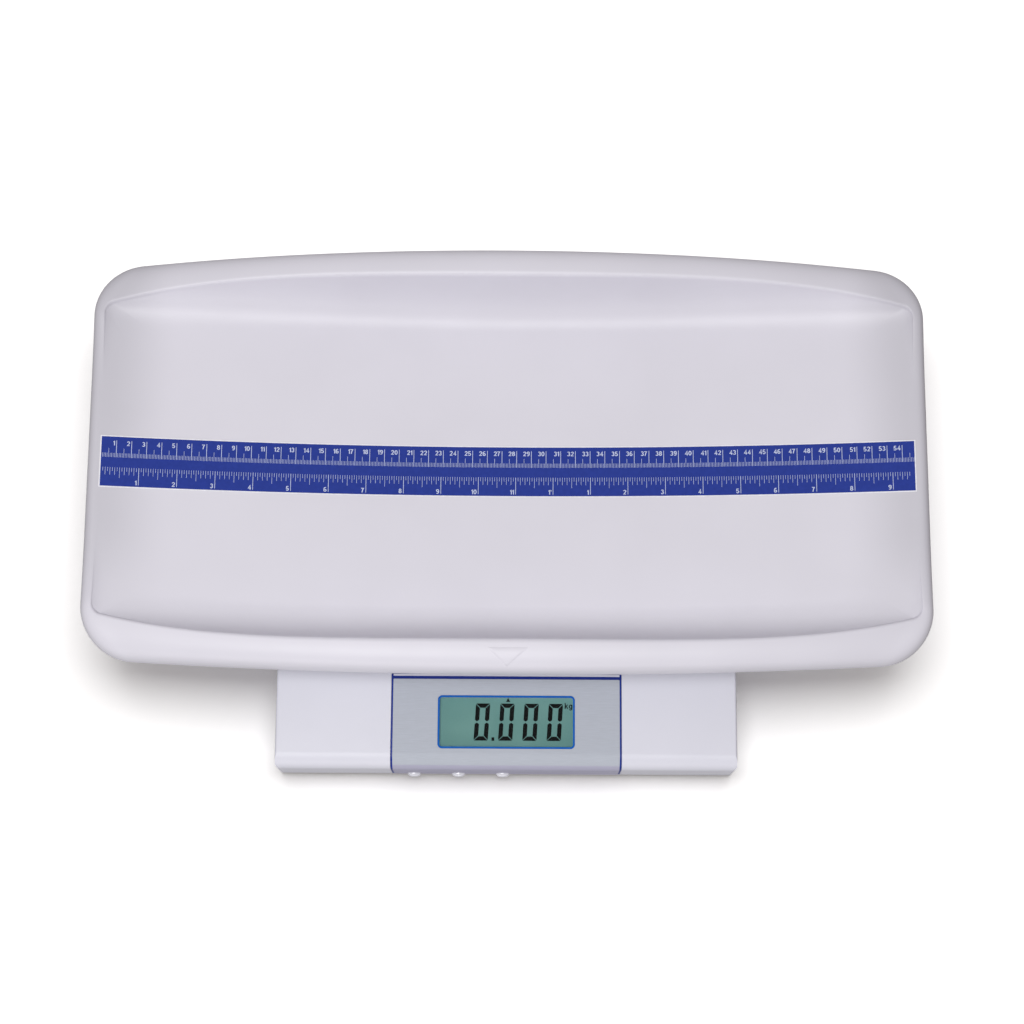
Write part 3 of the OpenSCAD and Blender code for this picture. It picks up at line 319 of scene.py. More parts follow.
DIGIT_BLACK = print_ink("digit_black", srgb(14, 14, 14), 0.6, shine=0.03)
WINDOW = clear_window()
LCD_GREEN = lcd_green()

# Painted shade: the tray's raised ends are darkened in their base colour, more towards the back
TRAY_END = (0.224, 0.272)
TRAY_END_BACK = (-0.09, -0.01)
TRAY_END_PAINTED_SHADE = (0.81, 0.81, 0.81, 1.0)
tint(WHITE, "X", TRAY_END, TRAY_END_PAINTED_SHADE, TRAY_END_BACK)

# The panel takes a purple-grey cast where it turns down over the front edge: partly its own colour
# there, partly painted shade that darkens the front face
PANEL_FRONT = (0.1696, 0.1706)
PANEL_FRONT_TINT_AND_PAINTED_SHADE = (0.92, 0.85, 0.97, 1.0)
tint(FACING, "Y", PANEL_FRONT, PANEL_FRONT_TINT_AND_PAINTED_SHADE)

FINISHES = {
    "tray_plastic": WHITE,
    "ruler_print": RULER_BLUE,
    "housing_plastic": HOUSING_WHITE,
    "cover_plastic": COVER_WHITE,
    "bezel_blue": BEZEL_BLUE,
    "panel_silver": FACING,
    "lcd_blue": LCD_BLUE,
    "window_clear": WINDOW,
    "lcd_green": LCD_GREEN,
    "holder_white": HOLDER,
    "board_green": BOARD,
    "part_black": BLACK,
    "screw_steel": STEEL,
    "button_plastic": BUTTON_WHITE,
    "plate_steel": STEEL,
    "cell_aluminium": ALUMINIUM,
    "potting_white": SEALANT,
    "frame_grey": POWDER,
    "rubber_grey": RUBBER,
    "lead_grey": GREY_LEAD,
    "lead_red": RED_LEAD,
    "battery_sleeve": SLEEVE,
    "contact_nickel": NICKEL,
}


NODE_EDGE = 35
TRAY_EDGE = 60
CAP_EDGE = 50
PLAIN_EDGE = 40


def dress_nodes():
    """Every CAD node takes the finish of its material slot."""
    for entry in frame["record"]["subparts"]:
        node = nodes[entry["node"]]
        node.data.materials.clear()
        node.data.materials.append(FINISHES[entry["material_slot"]])
        sharpen(node, NODE_EDGE)


# ---- Tray -----------------------------------------------------------------------------------------

SIDE_STEPS = 34
CORNER_STEPS = 22
END_STEPS = 18
WALL_STEPS = 22
CREST_STEPS = 7
RIM_STEPS = 18
FLOOR_STEPS = 14
FOOT_BULGE = CREST_BULGE - (WALL_RUN - END_WALL_RUN)
CREST_HALF = (HALF_LENGTH - END_RIM_WIDTH, HALF_DEPTH - RIM_WIDTH)
FOOT_HALF = (CREST_HALF[0] - END_WALL_RUN, CREST_HALF[1] - WALL_RUN)

# The long sides bow as this power of the distance from the middle
EDGE_POWER = 2
CREST_POWER = 4

# Shares of the wall's run and rise at which its section is pulled into a curve
LOW_PULL = 0.6
HIGH_PULL = (0.82, 0.45)

# The same for the rim's width and drop
RIM_PULL = (0.75, 0.02)
RIM_EDGE_PULL = 0.26

# The crest is rounded over these shares of its radius, and melts away where it is lower than this
CREST_INNER = 0.25
CREST_FALL = 0.08
CREST_RISE = 0.4
CRISP_HEIGHT = 5.0

# The crest's dip along the ends levels off at this share of the way to their middle
LEVEL_FROM = 0.5


def quarter_line(half, bulge, power, radius):
    """A quarter of a plan outline: (x, y, share round the corner, share along the end)."""
    centre_x = half[0] - radius
    lean = math.atan(power * bulge / centre_x)
    side_x = centre_x + radius * math.sin(lean)
    centre_y = half[1] - bulge - radius * math.cos(lean)
    line = []
    for i in range(SIDE_STEPS):
        x = side_x * i / SIDE_STEPS
        line.append((x, half[1] - bulge * (x / side_x) ** power, 0.0, 0.0))
    for i in range(CORNER_STEPS + 1):
        t = i / CORNER_STEPS
        a = (math.pi / 2 - lean) * (1 - t)
        line.append((centre_x + radius * math.cos(a), centre_y + radius * math.sin(a),
                     t * t * (3 - 2 * t), 0.0))
    for i in range(1, END_STEPS + 1):
        line.append((half[0], centre_y * (1 - i / END_STEPS), 1.0, i / END_STEPS))
    return line


def whole_line(q):
    """The whole outline from its first quarter."""
    n = len(q)
    return (q + [(q[i][0], -q[i][1], *q[i][2:]) for i in range(n - 2, -1, -1)]
            + [(-q[i][0], -q[i][1], *q[i][2:]) for i in range(1, n)]
            + [(-q[i][0], q[i][1], *q[i][2:]) for i in range(n - 2, 0, -1)])


FOOT_LINE = whole_line(quarter_line(FOOT_HALF, FOOT_BULGE, CREST_POWER, FOOT_CORNER))
CREST_LINE = whole_line(quarter_line(CREST_HALF, CREST_BULGE, CREST_POWER, CREST_CORNER))
EDGE_LINE = whole_line(quarter_line((HALF_LENGTH, HALF_DEPTH), SIDE_BULGE, EDGE_POWER,
                                    TRAY_CORNER))
STATIONS = len(FOOT_LINE)
END_STATION = SIDE_STEPS + CORNER_STEPS + END_STEPS


def floor_at(x):
    return FLOOR_Z + FLOOR_RISE * (x / HALF_LENGTH) ** 2


def floor_slope(x):
    return 2 * FLOOR_RISE * x / HALF_LENGTH ** 2


END_CREST = floor_at(CREST_HALF[0]) + END_LIP


def crest_z(p):
    """The crest falls towards the corners and dips along the ends to a low level lip."""
    side = FLOOR_Z + WALL_HEIGHT - CREST_DROP * (p[0] / CREST_HALF[0]) ** 2
    return mix(END_CREST, side, max(0.0, 1 - p[3] / LEVEL_FROM) ** 2)


def plan_reach(a, b):
    """The distance between two points in plan."""
    return math.hypot(b[0] - a[0], b[1] - a[1])


def upper_section(i):
    """The tray's upper surface at one station, as (distance out from the wall's foot, z)."""
    foot, ridge, edge = FOOT_LINE[i], CREST_LINE[i], EDGE_LINE[i]
    to_end = foot[2]
    run = plan_reach(foot, ridge)
    rim = plan_reach(ridge, edge)
    low = floor_at(foot[0])
    tilt = floor_slope(foot[0]) * (ridge[0] - foot[0]) / run
    top = crest_z(ridge)
    crisp = min(1.0, (top - floor_at(ridge[0]) - END_LIP) / CRISP_HEIGHT)
    top -= END_LIP * (1 - crisp)
    rise = top - low
    drop = top - mix(crest_z(ridge) - RIM_DROP, END_CREST - END_RIM_DROP, to_end)
    steep = mix(CREST_RADIUS, CREST_RADIUS / 2, to_end)
    inner = steep * CREST_INNER
    crest = (run, top)
    wall_top = (run - inner, top - mix(tilt * inner, min(steep, rise * CREST_RISE), crisp))
    bend = run * HIGH_PULL[0]
    wall = ((0, low), (run * LOW_PULL, low + tilt * run * LOW_PULL),
            (bend, low + mix(tilt * bend, max(rise * HIGH_PULL[1], tilt * run * LOW_PULL), crisp)),
            wall_top)
    near = rim * RIM_PULL[0]
    rim_start = (run + steep, top + mix(tilt * steep, -steep * CREST_FALL, crisp))
    roll = (rim_start, (run + near, top + mix(tilt * near, -drop * RIM_PULL[1], crisp)),
            (run + rim, top - drop * RIM_EDGE_PULL), (run + rim, top - drop))
    return ([cubic(wall, k / WALL_STEPS) for k in range(WALL_STEPS)]
            + [quadratic(wall_top, crest, rim_start, k / CREST_STEPS) for k in range(CREST_STEPS)]
            + [cubic(roll, k / RIM_STEPS) for k in range(RIM_STEPS + 1)])


def lower_section(section):
    """The same section moved through the wall's thickness."""
    last = len(section) - 1
    moved = [(section[0][0], section[0][1] - TRAY_WALL)]
    for k in range(1, last + 1):
        a, b = section[k - 1], section[min(k + 1, last)]
        dx, dz = b[0] - a[0], b[1] - a[1]
        size = math.hypot(dx, dz)
        moved.append((section[k][0] + TRAY_WALL * dz / size,
                      section[k][1] - TRAY_WALL * dx / size))
    return moved


def in_space(i, p):
    """A section's distance runs from the foot to the crest, and on from there to the edge."""
    foot, ridge, edge = FOOT_LINE[i], CREST_LINE[i], EDGE_LINE[i]
    run = plan_reach(foot, ridge)
    if p[0] <= run:
        a, b, share = foot, ridge, p[0] / run
    else:
        a, b, share = ridge, edge, (p[0] - run) / plan_reach(ridge, edge)
    return (mix(a[0], b[0], share), mix(a[1], b[1], share) + TRAY_Y, p[1])


def tray_shell():
    """The tray as one closed shell: a ring of sections, and a floor on each side of the wall."""
    points = []
    faces = []
    for i in range(STATIONS):
        section = upper_section(i)
        row = section + lower_section(section)[::-1]
        points += [in_space(i, p) for p in row]
    length = len(row)
    for i in range(STATIONS):
        j = (i + 1) % STATIONS
        for k in range(length - 1):
            faces.append((i * length + k, i * length + k + 1, j * length + k + 1, j * length + k))
    half_turn = STATIONS // 2
    last_rung = SIDE_STEPS + CORNER_STEPS - 1

    def floor(level, flip):
        """A grid of panels between the two long sides, and one panel at each straight end."""
        def foot(i):
            return (i % STATIONS) * length + level
        grid = {}
        for r in range(-last_rung, last_rung + 1):
            a, b = foot(r), foot(half_turn - r)
            grid[r] = [a]
            for s in range(1, FLOOR_STEPS):
                points.append(tuple(mix(points[a][c], points[b][c], s / FLOOR_STEPS)
                                    for c in range(3)))
                grid[r].append(len(points) - 1)
            grid[r].append(b)
        for r in range(-last_rung, last_rung):
            for s in range(FLOOR_STEPS):
                panel = (grid[r][s], grid[r + 1][s], grid[r + 1][s + 1], grid[r][s + 1])
                faces.append(panel[::-1] if flip else panel)
        for start, side in ((last_rung, 1), (half_turn + last_rung, -1)):
            rim = [foot(i) for i in range(start, start + half_turn - 2 * last_rung + 1)]
            inner = grid[side * last_rung][1:-1]
            panel = tuple(rim + (inner[::-1] if side > 0 else inner))
            faces.append(panel[::-1] if flip else panel)

    floor(0, False)
    floor(length - 1, True)
    return points, faces


def add_tray():
    points, faces = tray_shell()
    tray = add_mesh("tray_moulding", points, faces, WHITE)
    sharpen(tray, TRAY_EDGE)
    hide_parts("tray")
    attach(tray, "tray")
    add_rim_mark(points, faces)


# The mark's corners in plan, its height, and how far its foot spreads and reaches in
MARK = ((-11.6, -100.5), (13.3, -100.5), (0.1, -111.5))
MARK_RISE = 0.35
MARK_SPREAD = 1.12
MARK_DEPTH = 0.05
MARK_STEPS = 14
SKY = 200.0


def upward(corners):
    """Whether a panel with these corners faces up."""
    a, b, c = (Vector(p) for p in corners)
    return (b - a).cross(c - a).z > 0


def on_skin(skin, x, y, lift):
    """The point of a surface over a place in plan, lifted square to it, but never past the crest."""
    hit, normal = skin.ray_cast(Vector((x, y, SKY)), Vector((0, 0, -1)))[:2]
    point = hit + (normal if normal.z > 0 else -normal) * lift
    return (point.x, point.y, min(point.z, TRAY_HIGH.z))


def add_rim_mark(points, faces):
    """A low raised triangle with sloping edges, which follows the near rim's surface."""
    skin = BVHTree.FromPolygons([Vector(p) for p in points], faces)
    middle = [sum(p[c] for p in MARK) / 3 for c in range(2)]
    n = MARK_STEPS
    rows = {}
    high, low = [], []
    for i in range(n + 1):
        for j in range(n + 1 - i):
            x, y = (MARK[0][c] + (MARK[1][c] - MARK[0][c]) * i / n
                    + (MARK[2][c] - MARK[0][c]) * j / n for c in range(2))
            rows[i, j] = len(high)
            high.append(on_skin(skin, x, y, MARK_RISE))
            x, y = (middle[c] + (v - middle[c]) * MARK_SPREAD for c, v in enumerate((x, y)))
            low.append(on_skin(skin, x, y, -MARK_DEPTH))
    base = len(high)
    panels = []
    for i in range(n):
        for j in range(n - i):
            panels.append((rows[i, j], rows[i, j + 1], rows[i + 1, j]))
            if i + j < n - 1:
                panels.append((rows[i + 1, j], rows[i, j + 1], rows[i + 1, j + 1]))
    panels = [panel if upward([high[k] for k in panel]) else panel[::-1] for panel in panels]
    edge = ([rows[i, 0] for i in range(n)] + [rows[n - j, j] for j in range(n)]
            + [rows[0, n - j] for j in range(n)])
    sides = [(edge[k - 1], edge[k], edge[k] + base, edge[k - 1] + base) for k in range(len(edge))]
    mark = add_mesh("tray_mark", high + low,
                    panels + [tuple(k + base for k in panel[::-1]) for panel in panels] + sides,
                    WHITE)
    sharpen(mark, PLAIN_EDGE)
    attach(mark, "tray")


CUP_OUTER = 18.5
CUP_INNER = 15.5
CUP_CLEARANCE = 0.5
CUP_LOW = 54.4
CUP_SEAT = 57.0
CUP_SIDES = 72


def add_cups():
    """Locating cups under the tray, each over one of the platform's cushions."""
    low, high = (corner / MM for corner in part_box("tray_cushions"))
    cushion = CUP_INNER - CUP_CLEARANCE
    xs = (low.x + cushion, high.x - cushion)
    ys = (low.y + cushion, high.y - cushion)
    points, faces = [], []
    for cx in xs:
        top = floor_at(cx) - TRAY_WALL / 2
        for cy in ys:
            rings = ((CUP_OUTER, top), (CUP_OUTER, CUP_LOW), (CUP_INNER, CUP_LOW),
                     (CUP_INNER, CUP_SEAT))
            base = len(points)
            for radius, z in rings:
                for k in range(CUP_SIDES):
                    a = 2 * math.pi * k / CUP_SIDES
                    points.append((cx + radius * math.cos(a), cy + radius * math.sin(a), z))
            for ring in range(len(rings) - 1):
                for k in range(CUP_SIDES):
                    a = base + ring * CUP_SIDES + k
                    b = base + ring * CUP_SIDES + (k + 1) % CUP_SIDES
                    faces.append((a, a + CUP_SIDES, b + CUP_SIDES, b))
            faces.append(tuple(base + k for k in range(CUP_SIDES)))
            last = base + (len(rings) - 1) * CUP_SIDES
            faces.append(tuple(last + k for k in range(CUP_SIDES))[::-1])
    cups = add_mesh("tray_cups", points, faces, WHITE)
    sharpen(cups, PLAIN_EDGE)
    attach(cups, "tray")


# ---- Measuring strip ------------------------------------------------------------------------------

STRIP_HALF = 272.8
STRIP_Y = TRAY_Y - 3.0
STRIP_WIDTH = 34.0
STRIP_THICKNESS = 0.5
STRIP_STEPS = 240
PRINT_LIFT = 0.08


def strip_profile():
    """The floor's curve along the tray's middle line, over the strip: (way along, x, z)."""
    section = upper_section(END_STATION)
    curve = [(FOOT_HALF[0] * i / STRIP_STEPS, floor_at(FOOT_HALF[0] * i / STRIP_STEPS))
             for i in range(STRIP_STEPS + 1)]
    for k in range(1, WALL_STEPS):
        x = FOOT_HALF[0] + section[k][0]
        if x < STRIP_HALF:
            curve.append((x, section[k][1]))
    curve = [(-x, z) for x, z in curve[:0:-1]] + curve
    way, profile = 0.0, []
    for k, (x, z) in enumerate(curve):
        if k:
            way += math.hypot(x - curve[k - 1][0], z - curve[k - 1][1])
        profile.append((way, x, z))
    return profile


PROFILE = strip_profile()
STRIP_LENGTH = PROFILE[-1][0]


def on_strip(way, across, lift):
    """A point on the strip: millimetres from its left end, from its far edge, and above it."""
    low, high = 0, len(PROFILE) - 1
    while high - low > 1:
        middle = (low + high) // 2
        if PROFILE[middle][0] <= way:
            low = middle
        else:
            high = middle
    a, b = PROFILE[low], PROFILE[high]
    size = b[0] - a[0]
    share = (way - a[0]) / size
    dx, dz = (b[1] - a[1]) / size, (b[2] - a[2]) / size
    level = STRIP_THICKNESS + lift
    return (mix(a[1], b[1], share) - dz * level,
            STRIP_Y + STRIP_WIDTH / 2 - across,
            mix(a[2], b[2], share) + dx * level)


# Half a stroke's width and the gap between figures, in figure heights
FIGURE_STROKE = 0.08
FIGURE_GAP = 0.07
FIGURE_WIDEN = 1.18
MITRE_LIMIT = 0.6
SAME_PLACE = 0.001
FIGURES = {}


def arc(x, y, rx, ry, start, end, steps=12):
    """A stretch of an ellipse between two angles in degrees."""
    angles = [math.radians(mix(start, end, k / steps)) for k in range(steps + 1)]
    return [(x + rx * math.cos(a), y + ry * math.sin(a)) for a in angles]


# The middle line of each figure's strokes, one unit high
SIX = [arc(0.28, 0.30, 0.20, 0.22, 0, 360), arc(0.33, 0.48, 0.25, 0.44, 62, 195)]
STROKES = {
    "0": [arc(0.28, 0.5, 0.2, 0.42, 0, 360, 20)],
    "1": [[(0.1, 0.72), (0.2, 0.78), (0.31, 0.95)], [(0.31, 1.0), (0.31, 0.0)]],
    "2": [arc(0.28, 0.7, 0.195, 0.22, 170, -40) + [(0.09, 0.08), (0.51, 0.08)]],
    "3": [arc(0.27, 0.72, 0.175, 0.2, 155, -90), arc(0.27, 0.29, 0.205, 0.21, 95, -155)],
    "4": [[(0.38, 0.0), (0.38, 0.96), (0.06, 0.3), (0.54, 0.3)]],
    "5": [[(0.49, 0.92), (0.17, 0.92), (0.12, 0.5)] + arc(0.28, 0.31, 0.21, 0.235, 125, -155)],
    "6": SIX,
    "7": [[(0.05, 0.92), (0.5, 0.92), (0.34, 0.62), (0.22, 0.0)]],
    "8": [arc(0.28, 0.72, 0.165, 0.2, 0, 360), arc(0.28, 0.29, 0.2, 0.21, 0, 360)],
    "9": [[(0.56 - x, 1 - y) for x, y in line] for line in SIX],
    "'": [[(0.08, 1.0), (0.08, 0.68)]],
    "k": [[(0.08, 1.0), (0.08, 0.0)], [(0.1, 0.28), (0.44, 0.7)], [(0.22, 0.45), (0.46, 0.0)]],
    "g": [arc(0.26, 0.36, 0.18, 0.28, 0, 360), [(0.44, 0.7), (0.44, -0.04)],
          arc(0.26, -0.04, 0.18, 0.17, 0, -160)],
}


def figure(letter):
    """A plain bold figure from its strokes, one unit high, as (points, faces, width)."""
    if letter not in FIGURES:
        points, faces = [], []
        for line in STROKES[letter]:
            closed = math.dist(line[0], line[-1]) < SAME_PLACE
            ways = [(Vector(b) - Vector(a)).normalized() for a, b in zip(line, line[1:])]
            for k, p in enumerate(line):
                before = ways[k - 1] if k or closed else ways[0]
                after = ways[k % len(ways)] if k < len(ways) or closed else ways[-1]
                way = (before + after).normalized()
                out = Vector((-way.y, way.x)) * FIGURE_STROKE / max(MITRE_LIMIT, way.dot(after))
                points += [(p[0] + out.x, p[1] + out.y), (p[0] - out.x, p[1] - out.y)]
                if k:
                    a = len(points) - 4
                    faces.append((a + 1, a + 3, a + 2, a))
        left = min(x for x, y in points)
        width = max(x for x, y in points) - left
        FIGURES[letter] = ([(x - left, y) for x, y in points], faces, width)
    return FIGURES[letter]


def figure_run(text, height):
    """Figures side by side: [(points, faces)] in millimetres, and the whole width."""
    wide = height * FIGURE_WIDEN
    run, x0 = [], 0.0
    for letter in text:
        points, faces, width = figure(letter)
        run.append(([((x + x0) * wide, y * height) for x, y in points], faces))
        x0 += width + FIGURE_GAP
    return run, (x0 - FIGURE_GAP) * wide


class Flat:
    """Flat shapes that are gathered into one piece."""

    def __init__(self):
        self.points = []
        self.faces = []

    def add(self, points, faces):
        base = len(self.points)
        self.points += points
        self.faces += [tuple(base + k for k in face) for face in faces]


class Print(Flat):
    """Printed shapes that lie on the strip."""

    def tick(self, way, across0, across1, weight):
        """A line across the strip."""
        ways = (way - weight / 2, way + weight / 2)
        self.add([on_strip(w, across, PRINT_LIFT) for w in ways for across in (across0, across1)],
                 [(1, 3, 2, 0)])

    def numeral(self, text, right, bottom, height):
        """Plain figures that end at a place along the strip and stand on a line across it."""
        run, width = figure_run(text, height)
        for points, faces in run:
            self.add([on_strip(right - width + x, bottom - y, PRINT_LIFT) for x, y in points],
                     faces)

    def finish(self, name, material):
        piece = add_mesh(name, self.points, self.faces, material, smooth=False)
        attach(piece, "tray")


def strip_band(name, margin, thickness, material):
    """A closed band bent along the floor, wider than the strip by a margin all round."""
    points, faces = [], []
    count = STRIP_STEPS
    for k in range(count + 1):
        way = mix(-margin, STRIP_LENGTH + margin, k / count)
        for across, lift in ((-margin, thickness), (STRIP_WIDTH + margin, thickness),
                             (STRIP_WIDTH + margin, 0.0), (-margin, 0.0)):
            points.append(on_strip(way, across, lift - STRIP_THICKNESS))
    for k in range(count):
        for side in range(4):
            a, b = 4 * k + side, 4 * k + (side + 1) % 4
            faces.append((a, b, b + 4, a + 4))
    faces.append((3, 2, 1, 0))
    faces.append(tuple(4 * count + side for side in range(4)))
    band = add_mesh(name, points, faces, material)
    sharpen(band, PLAIN_EDGE)
    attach(band, "tray")
    return band


BACKING_MARGIN = 0.8
BACKING_THICKNESS = 0.3
INCH = 25.4
FOOT_INCHES = 12
WHOLE_CM = 54
LAST_MM = 8
WHOLE_INCHES = 21
LAST_SIXTEENTHS = 7
STRONG_TICK = 0.34
FINE_TICK = 0.22

# The marks' ends, from the strip's far edge, and the line that the figures stand on
CM_TOP = 2.6
HALF_CM_TOP = 8.1
MM_TOP = 11.3
CM_END = 14.2
CM_LINE = 6.1
INCH_TOP = 21.1
SIXTEENTH_END = 23.8
EIGHTH_END = 26.3
HALF_INCH_END = 28.4
INCH_END = 32.9
FIGURE_HEIGHT = 3.2
FIGURE_CLEAR = 1.1


def add_strip():
    """The blue strip, a pale edge round it, and its marks and figures."""
    strip_band("ruler_backing", BACKING_MARGIN, BACKING_THICKNESS, RULER_EDGE)
    band = strip_band("ruler_band", 0.0, STRIP_THICKNESS, RULER_BLUE)
    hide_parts("ruler_strip")
    marks = Print()
    for mm in range(1, 10 * WHOLE_CM + LAST_MM + 1):
        if mm % 10 == 0:
            marks.tick(mm, CM_TOP, CM_END, STRONG_TICK)
            marks.numeral(str(mm // 10), mm - FIGURE_CLEAR, CM_LINE, FIGURE_HEIGHT)
        elif mm % 5 == 0:
            marks.tick(mm, HALF_CM_TOP, CM_END, FINE_TICK)
        else:
            marks.tick(mm, MM_TOP, CM_END, FINE_TICK)
    for part in range(1, 16 * WHOLE_INCHES + LAST_SIXTEENTHS + 1):
        way = part * INCH / 16
        if part % 16 == 0:
            inches = part // 16
            text = "1'" if inches == FOOT_INCHES else str(inches % FOOT_INCHES)
            marks.tick(way, INCH_TOP, INCH_END, STRONG_TICK)
            marks.numeral(text, way - FIGURE_CLEAR, INCH_END, FIGURE_HEIGHT)
        elif part % 8 == 0:
            marks.tick(way, INCH_TOP, HALF_INCH_END, FINE_TICK)
        elif part % 2 == 0:
            marks.tick(way, INCH_TOP, EIGHTH_END, FINE_TICK)
        else:
            marks.tick(way, INCH_TOP, SIXTEENTH_END, FINE_TICK)
    marks.finish("ruler_marks", RULER_LIGHT)


# ---- Display --------------------------------------------------------------------------------------

GLASS_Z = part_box("lcd_glass")[1].z / MM
INK_LIFT = 0.03
DIGIT_WIDTH = 9.6
DIGIT_HEIGHT = 25.1
DIGIT_LEAN = 1.5
DIGIT_TOP = -128.35
DIGIT_LEFTS = (-20.5, -4.0, 12.3, 28.7)

# A bar's width, the gap at half height with the pointed ends beside it, and the corner's cuts
BAR = 2.9
BAR_GAP = 0.8
BAR_POINT = 1.0
CUT = 0.25
CUT_DEPTH = 0.15
SIDE_START = 0.75
SIDE_TIP = 0.55
SIDE_SHOULDER = 0.4


def digit_bars():
    """The six bars of a nought, as outlines in millimetres right of and below its top left."""
    w = DIGIT_WIDTH
    end = (DIGIT_HEIGHT - BAR_GAP) / 2
    top = [(2 * CUT, 0), (w - 2 * CUT, 0), (w - CUT, CUT_DEPTH), (w - BAR - CUT, BAR),
           (BAR + CUT, BAR), (CUT, CUT_DEPTH)]
    side = [(0, SIDE_START), (CUT_DEPTH, SIDE_TIP), (BAR, BAR + SIDE_SHOULDER),
            (BAR, end - BAR_POINT), (BAR / 2, end), (0, end - BAR_POINT)]
    bars = [top, side, [(w - x, y) for x, y in side][::-1]]
    return bars + [[(x, DIGIT_HEIGHT - y) for x, y in bar][::-1] for bar in bars]


class Ink(Flat):
    """Dark shapes on the display glass."""

    def shape(self, outline):
        self.add([(x, y, GLASS_Z + INK_LIFT) for x, y in outline],
                 [tuple(range(len(outline)))[::-1]])

    def digit(self, left):
        for bar in digit_bars():
            self.shape([(left + x - DIGIT_LEAN * y / DIGIT_HEIGHT, DIGIT_TOP - y)
                        for x, y in bar])

    def words(self, text, left, bottom, height):
        for points, faces in figure_run(text, height)[0]:
            self.add([(left + x, bottom + y, GLASS_Z + INK_LIFT) for x, y in points], faces)

    def finish(self, name, material):
        piece = add_mesh(name, self.points, self.faces, material, smooth=False)
        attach(piece, "base")


POINT_BOX = ((-9.9, -151.2), (-8.0, -153.6))
POINTER = ((-0.3, -127.2), (2.6, -127.2), (1.15, -124.4))
UNIT_LEFT = 39.4
UNIT_BOTTOM = -131.6
UNIT_HEIGHT = 3.9


def add_digits():
    """The reading on the display: four noughts, the point, a small pointer and the unit."""
    ink = Ink()
    for left in DIGIT_LEFTS:
        ink.digit(left)
    (x0, y0), (x1, y1) = POINT_BOX
    ink.shape([(x0, y0), (x1, y0), (x1, y1), (x0, y1)])
    ink.shape(POINTER[::-1])
    ink.words("kg", UNIT_LEFT, UNIT_BOTTOM, UNIT_HEIGHT)
    ink.finish("display_digits", DIGIT_BLACK)


# ---- Panel ----------------------------------------------------------------------------------------

# The strip's two long edges from the bezel's back, its ends from the bezel's, and half its height
BEZEL_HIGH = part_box("panel_bezel")[1] / MM
BACK_LIP = (0.2, 1.5)
BACK_LIP_END = 1.3
BACK_LIP_RISE = 0.05


def add_back_lip():
    """The pale strip behind the panel's blue back line."""
    x = BEZEL_HIGH.x - BACK_LIP_END
    y1, y0 = (BEZEL_HIGH.y - share for share in BACK_LIP)
    z0, z1 = BEZEL_HIGH.z - BACK_LIP_RISE, BEZEL_HIGH.z + BACK_LIP_RISE
    points = [(sx * x, y, z) for z in (z0, z1) for y in (y0, y1) for sx in (-1, 1)]
    faces = [(0, 1, 5, 4), (1, 3, 7, 5), (3, 2, 6, 7), (2, 0, 4, 6), (4, 5, 7, 6), (2, 3, 1, 0)]
    lip = add_mesh("panel_back_lip", points, faces, HOUSING_WHITE, smooth=False)
    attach(lip, "base")


# ---- Push buttons ---------------------------------------------------------------------------------

# Half the oval cap, the power of its dome, and the flange's faces behind the housing's front
CAP_HALF = (4.7, 2.8)
CAP_POWER = 2.4
FLANGE_FRONT = 2.7
FLANGE_BACK = 3.9
STEM_RADIUS = 1.5
CAP_SIDES = 56
CAP_STEPS = 12


def add_cap(node):
    """A push button with a domed oval cap, and the flange and stem behind it."""
    low, high = (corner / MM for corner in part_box(node))
    x, z = (low.x + high.x) / 2, (low.z + high.z) / 2
    flange = ((high.x - low.x) / 2, (high.z - low.z) / 2)
    stem = (STEM_RADIUS, STEM_RADIUS)
    rings = []
    for k in range(1, CAP_STEPS + 1):
        a = math.pi / 2 * k / CAP_STEPS
        share = math.sin(a) ** (2 / CAP_POWER)
        rings.append((FACE_Y - (FACE_Y - low.y) * math.cos(a) ** (2 / CAP_POWER),
                      (CAP_HALF[0] * share, CAP_HALF[1] * share)))
    front, back = FACE_Y + FLANGE_FRONT, FACE_Y + FLANGE_BACK
    rings += [(front, CAP_HALF), (front, flange), (back, flange), (back, stem), (high.y, stem)]
    points = [(x, low.y, z)]
    for y, half in rings:
        for k in range(CAP_SIDES):
            a = 2 * math.pi * k / CAP_SIDES
            points.append((x + half[0] * math.cos(a), y, z + half[1] * math.sin(a)))
    points.append((x, high.y, z))
    faces = []
    for k in range(CAP_SIDES):
        n = (k + 1) % CAP_SIDES
        faces.append((0, 1 + k, 1 + n))
        for r in range(len(rings) - 1):
            a, b = 1 + r * CAP_SIDES, 1 + (r + 1) * CAP_SIDES
            faces.append((a + k, b + k, b + n, a + n))
        last = 1 + (len(rings) - 1) * CAP_SIDES
        faces.append((last + k, len(points) - 1, last + n))
    cap = add_mesh(node + "_cap", points, faces, BUTTON_WHITE)
    sharpen(cap, CAP_EDGE)
    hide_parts(node)
    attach(cap, node)


# ---- Floor, light and camera ----------------------------------------------------------------------

# Metres and degrees; the focal length is in pixels of a square frame
CAMERA_DISTANCE = 1.5
CAMERA_ELEVATION = 77.5
CAMERA_ROLL = 0.35
CAMERA_TARGET = Vector((0.003, 0.0, 0.062))
FRAME_PIXELS = 1024
FOCAL_PIXELS = 2206
SENSOR_MM = 36.0


def add_camera():
    data = bpy.data.cameras.new("photo_camera")
    data.sensor_width = SENSOR_MM
    data.lens = SENSOR_MM * FOCAL_PIXELS / FRAME_PIXELS
    camera = bpy.data.objects.new("photo_camera", data)
    bpy.context.scene.collection.objects.link(camera)
    tilt = math.radians(90 - CAMERA_ELEVATION)
    turn = Matrix.Rotation(tilt, 4, "X") @ Matrix.Rotation(math.radians(CAMERA_ROLL), 4, "Z")
    back = Vector((0, -math.sin(tilt), math.cos(tilt))) * CAMERA_DISTANCE
    camera.matrix_world = Matrix.Translation(CAMERA_TARGET + back) @ turn
    bpy.context.scene.camera = camera


FLOOR_SIZE = 12.0
FLOOR_SEEN = 1.62
FLOOR_BOUNCE = 0.6


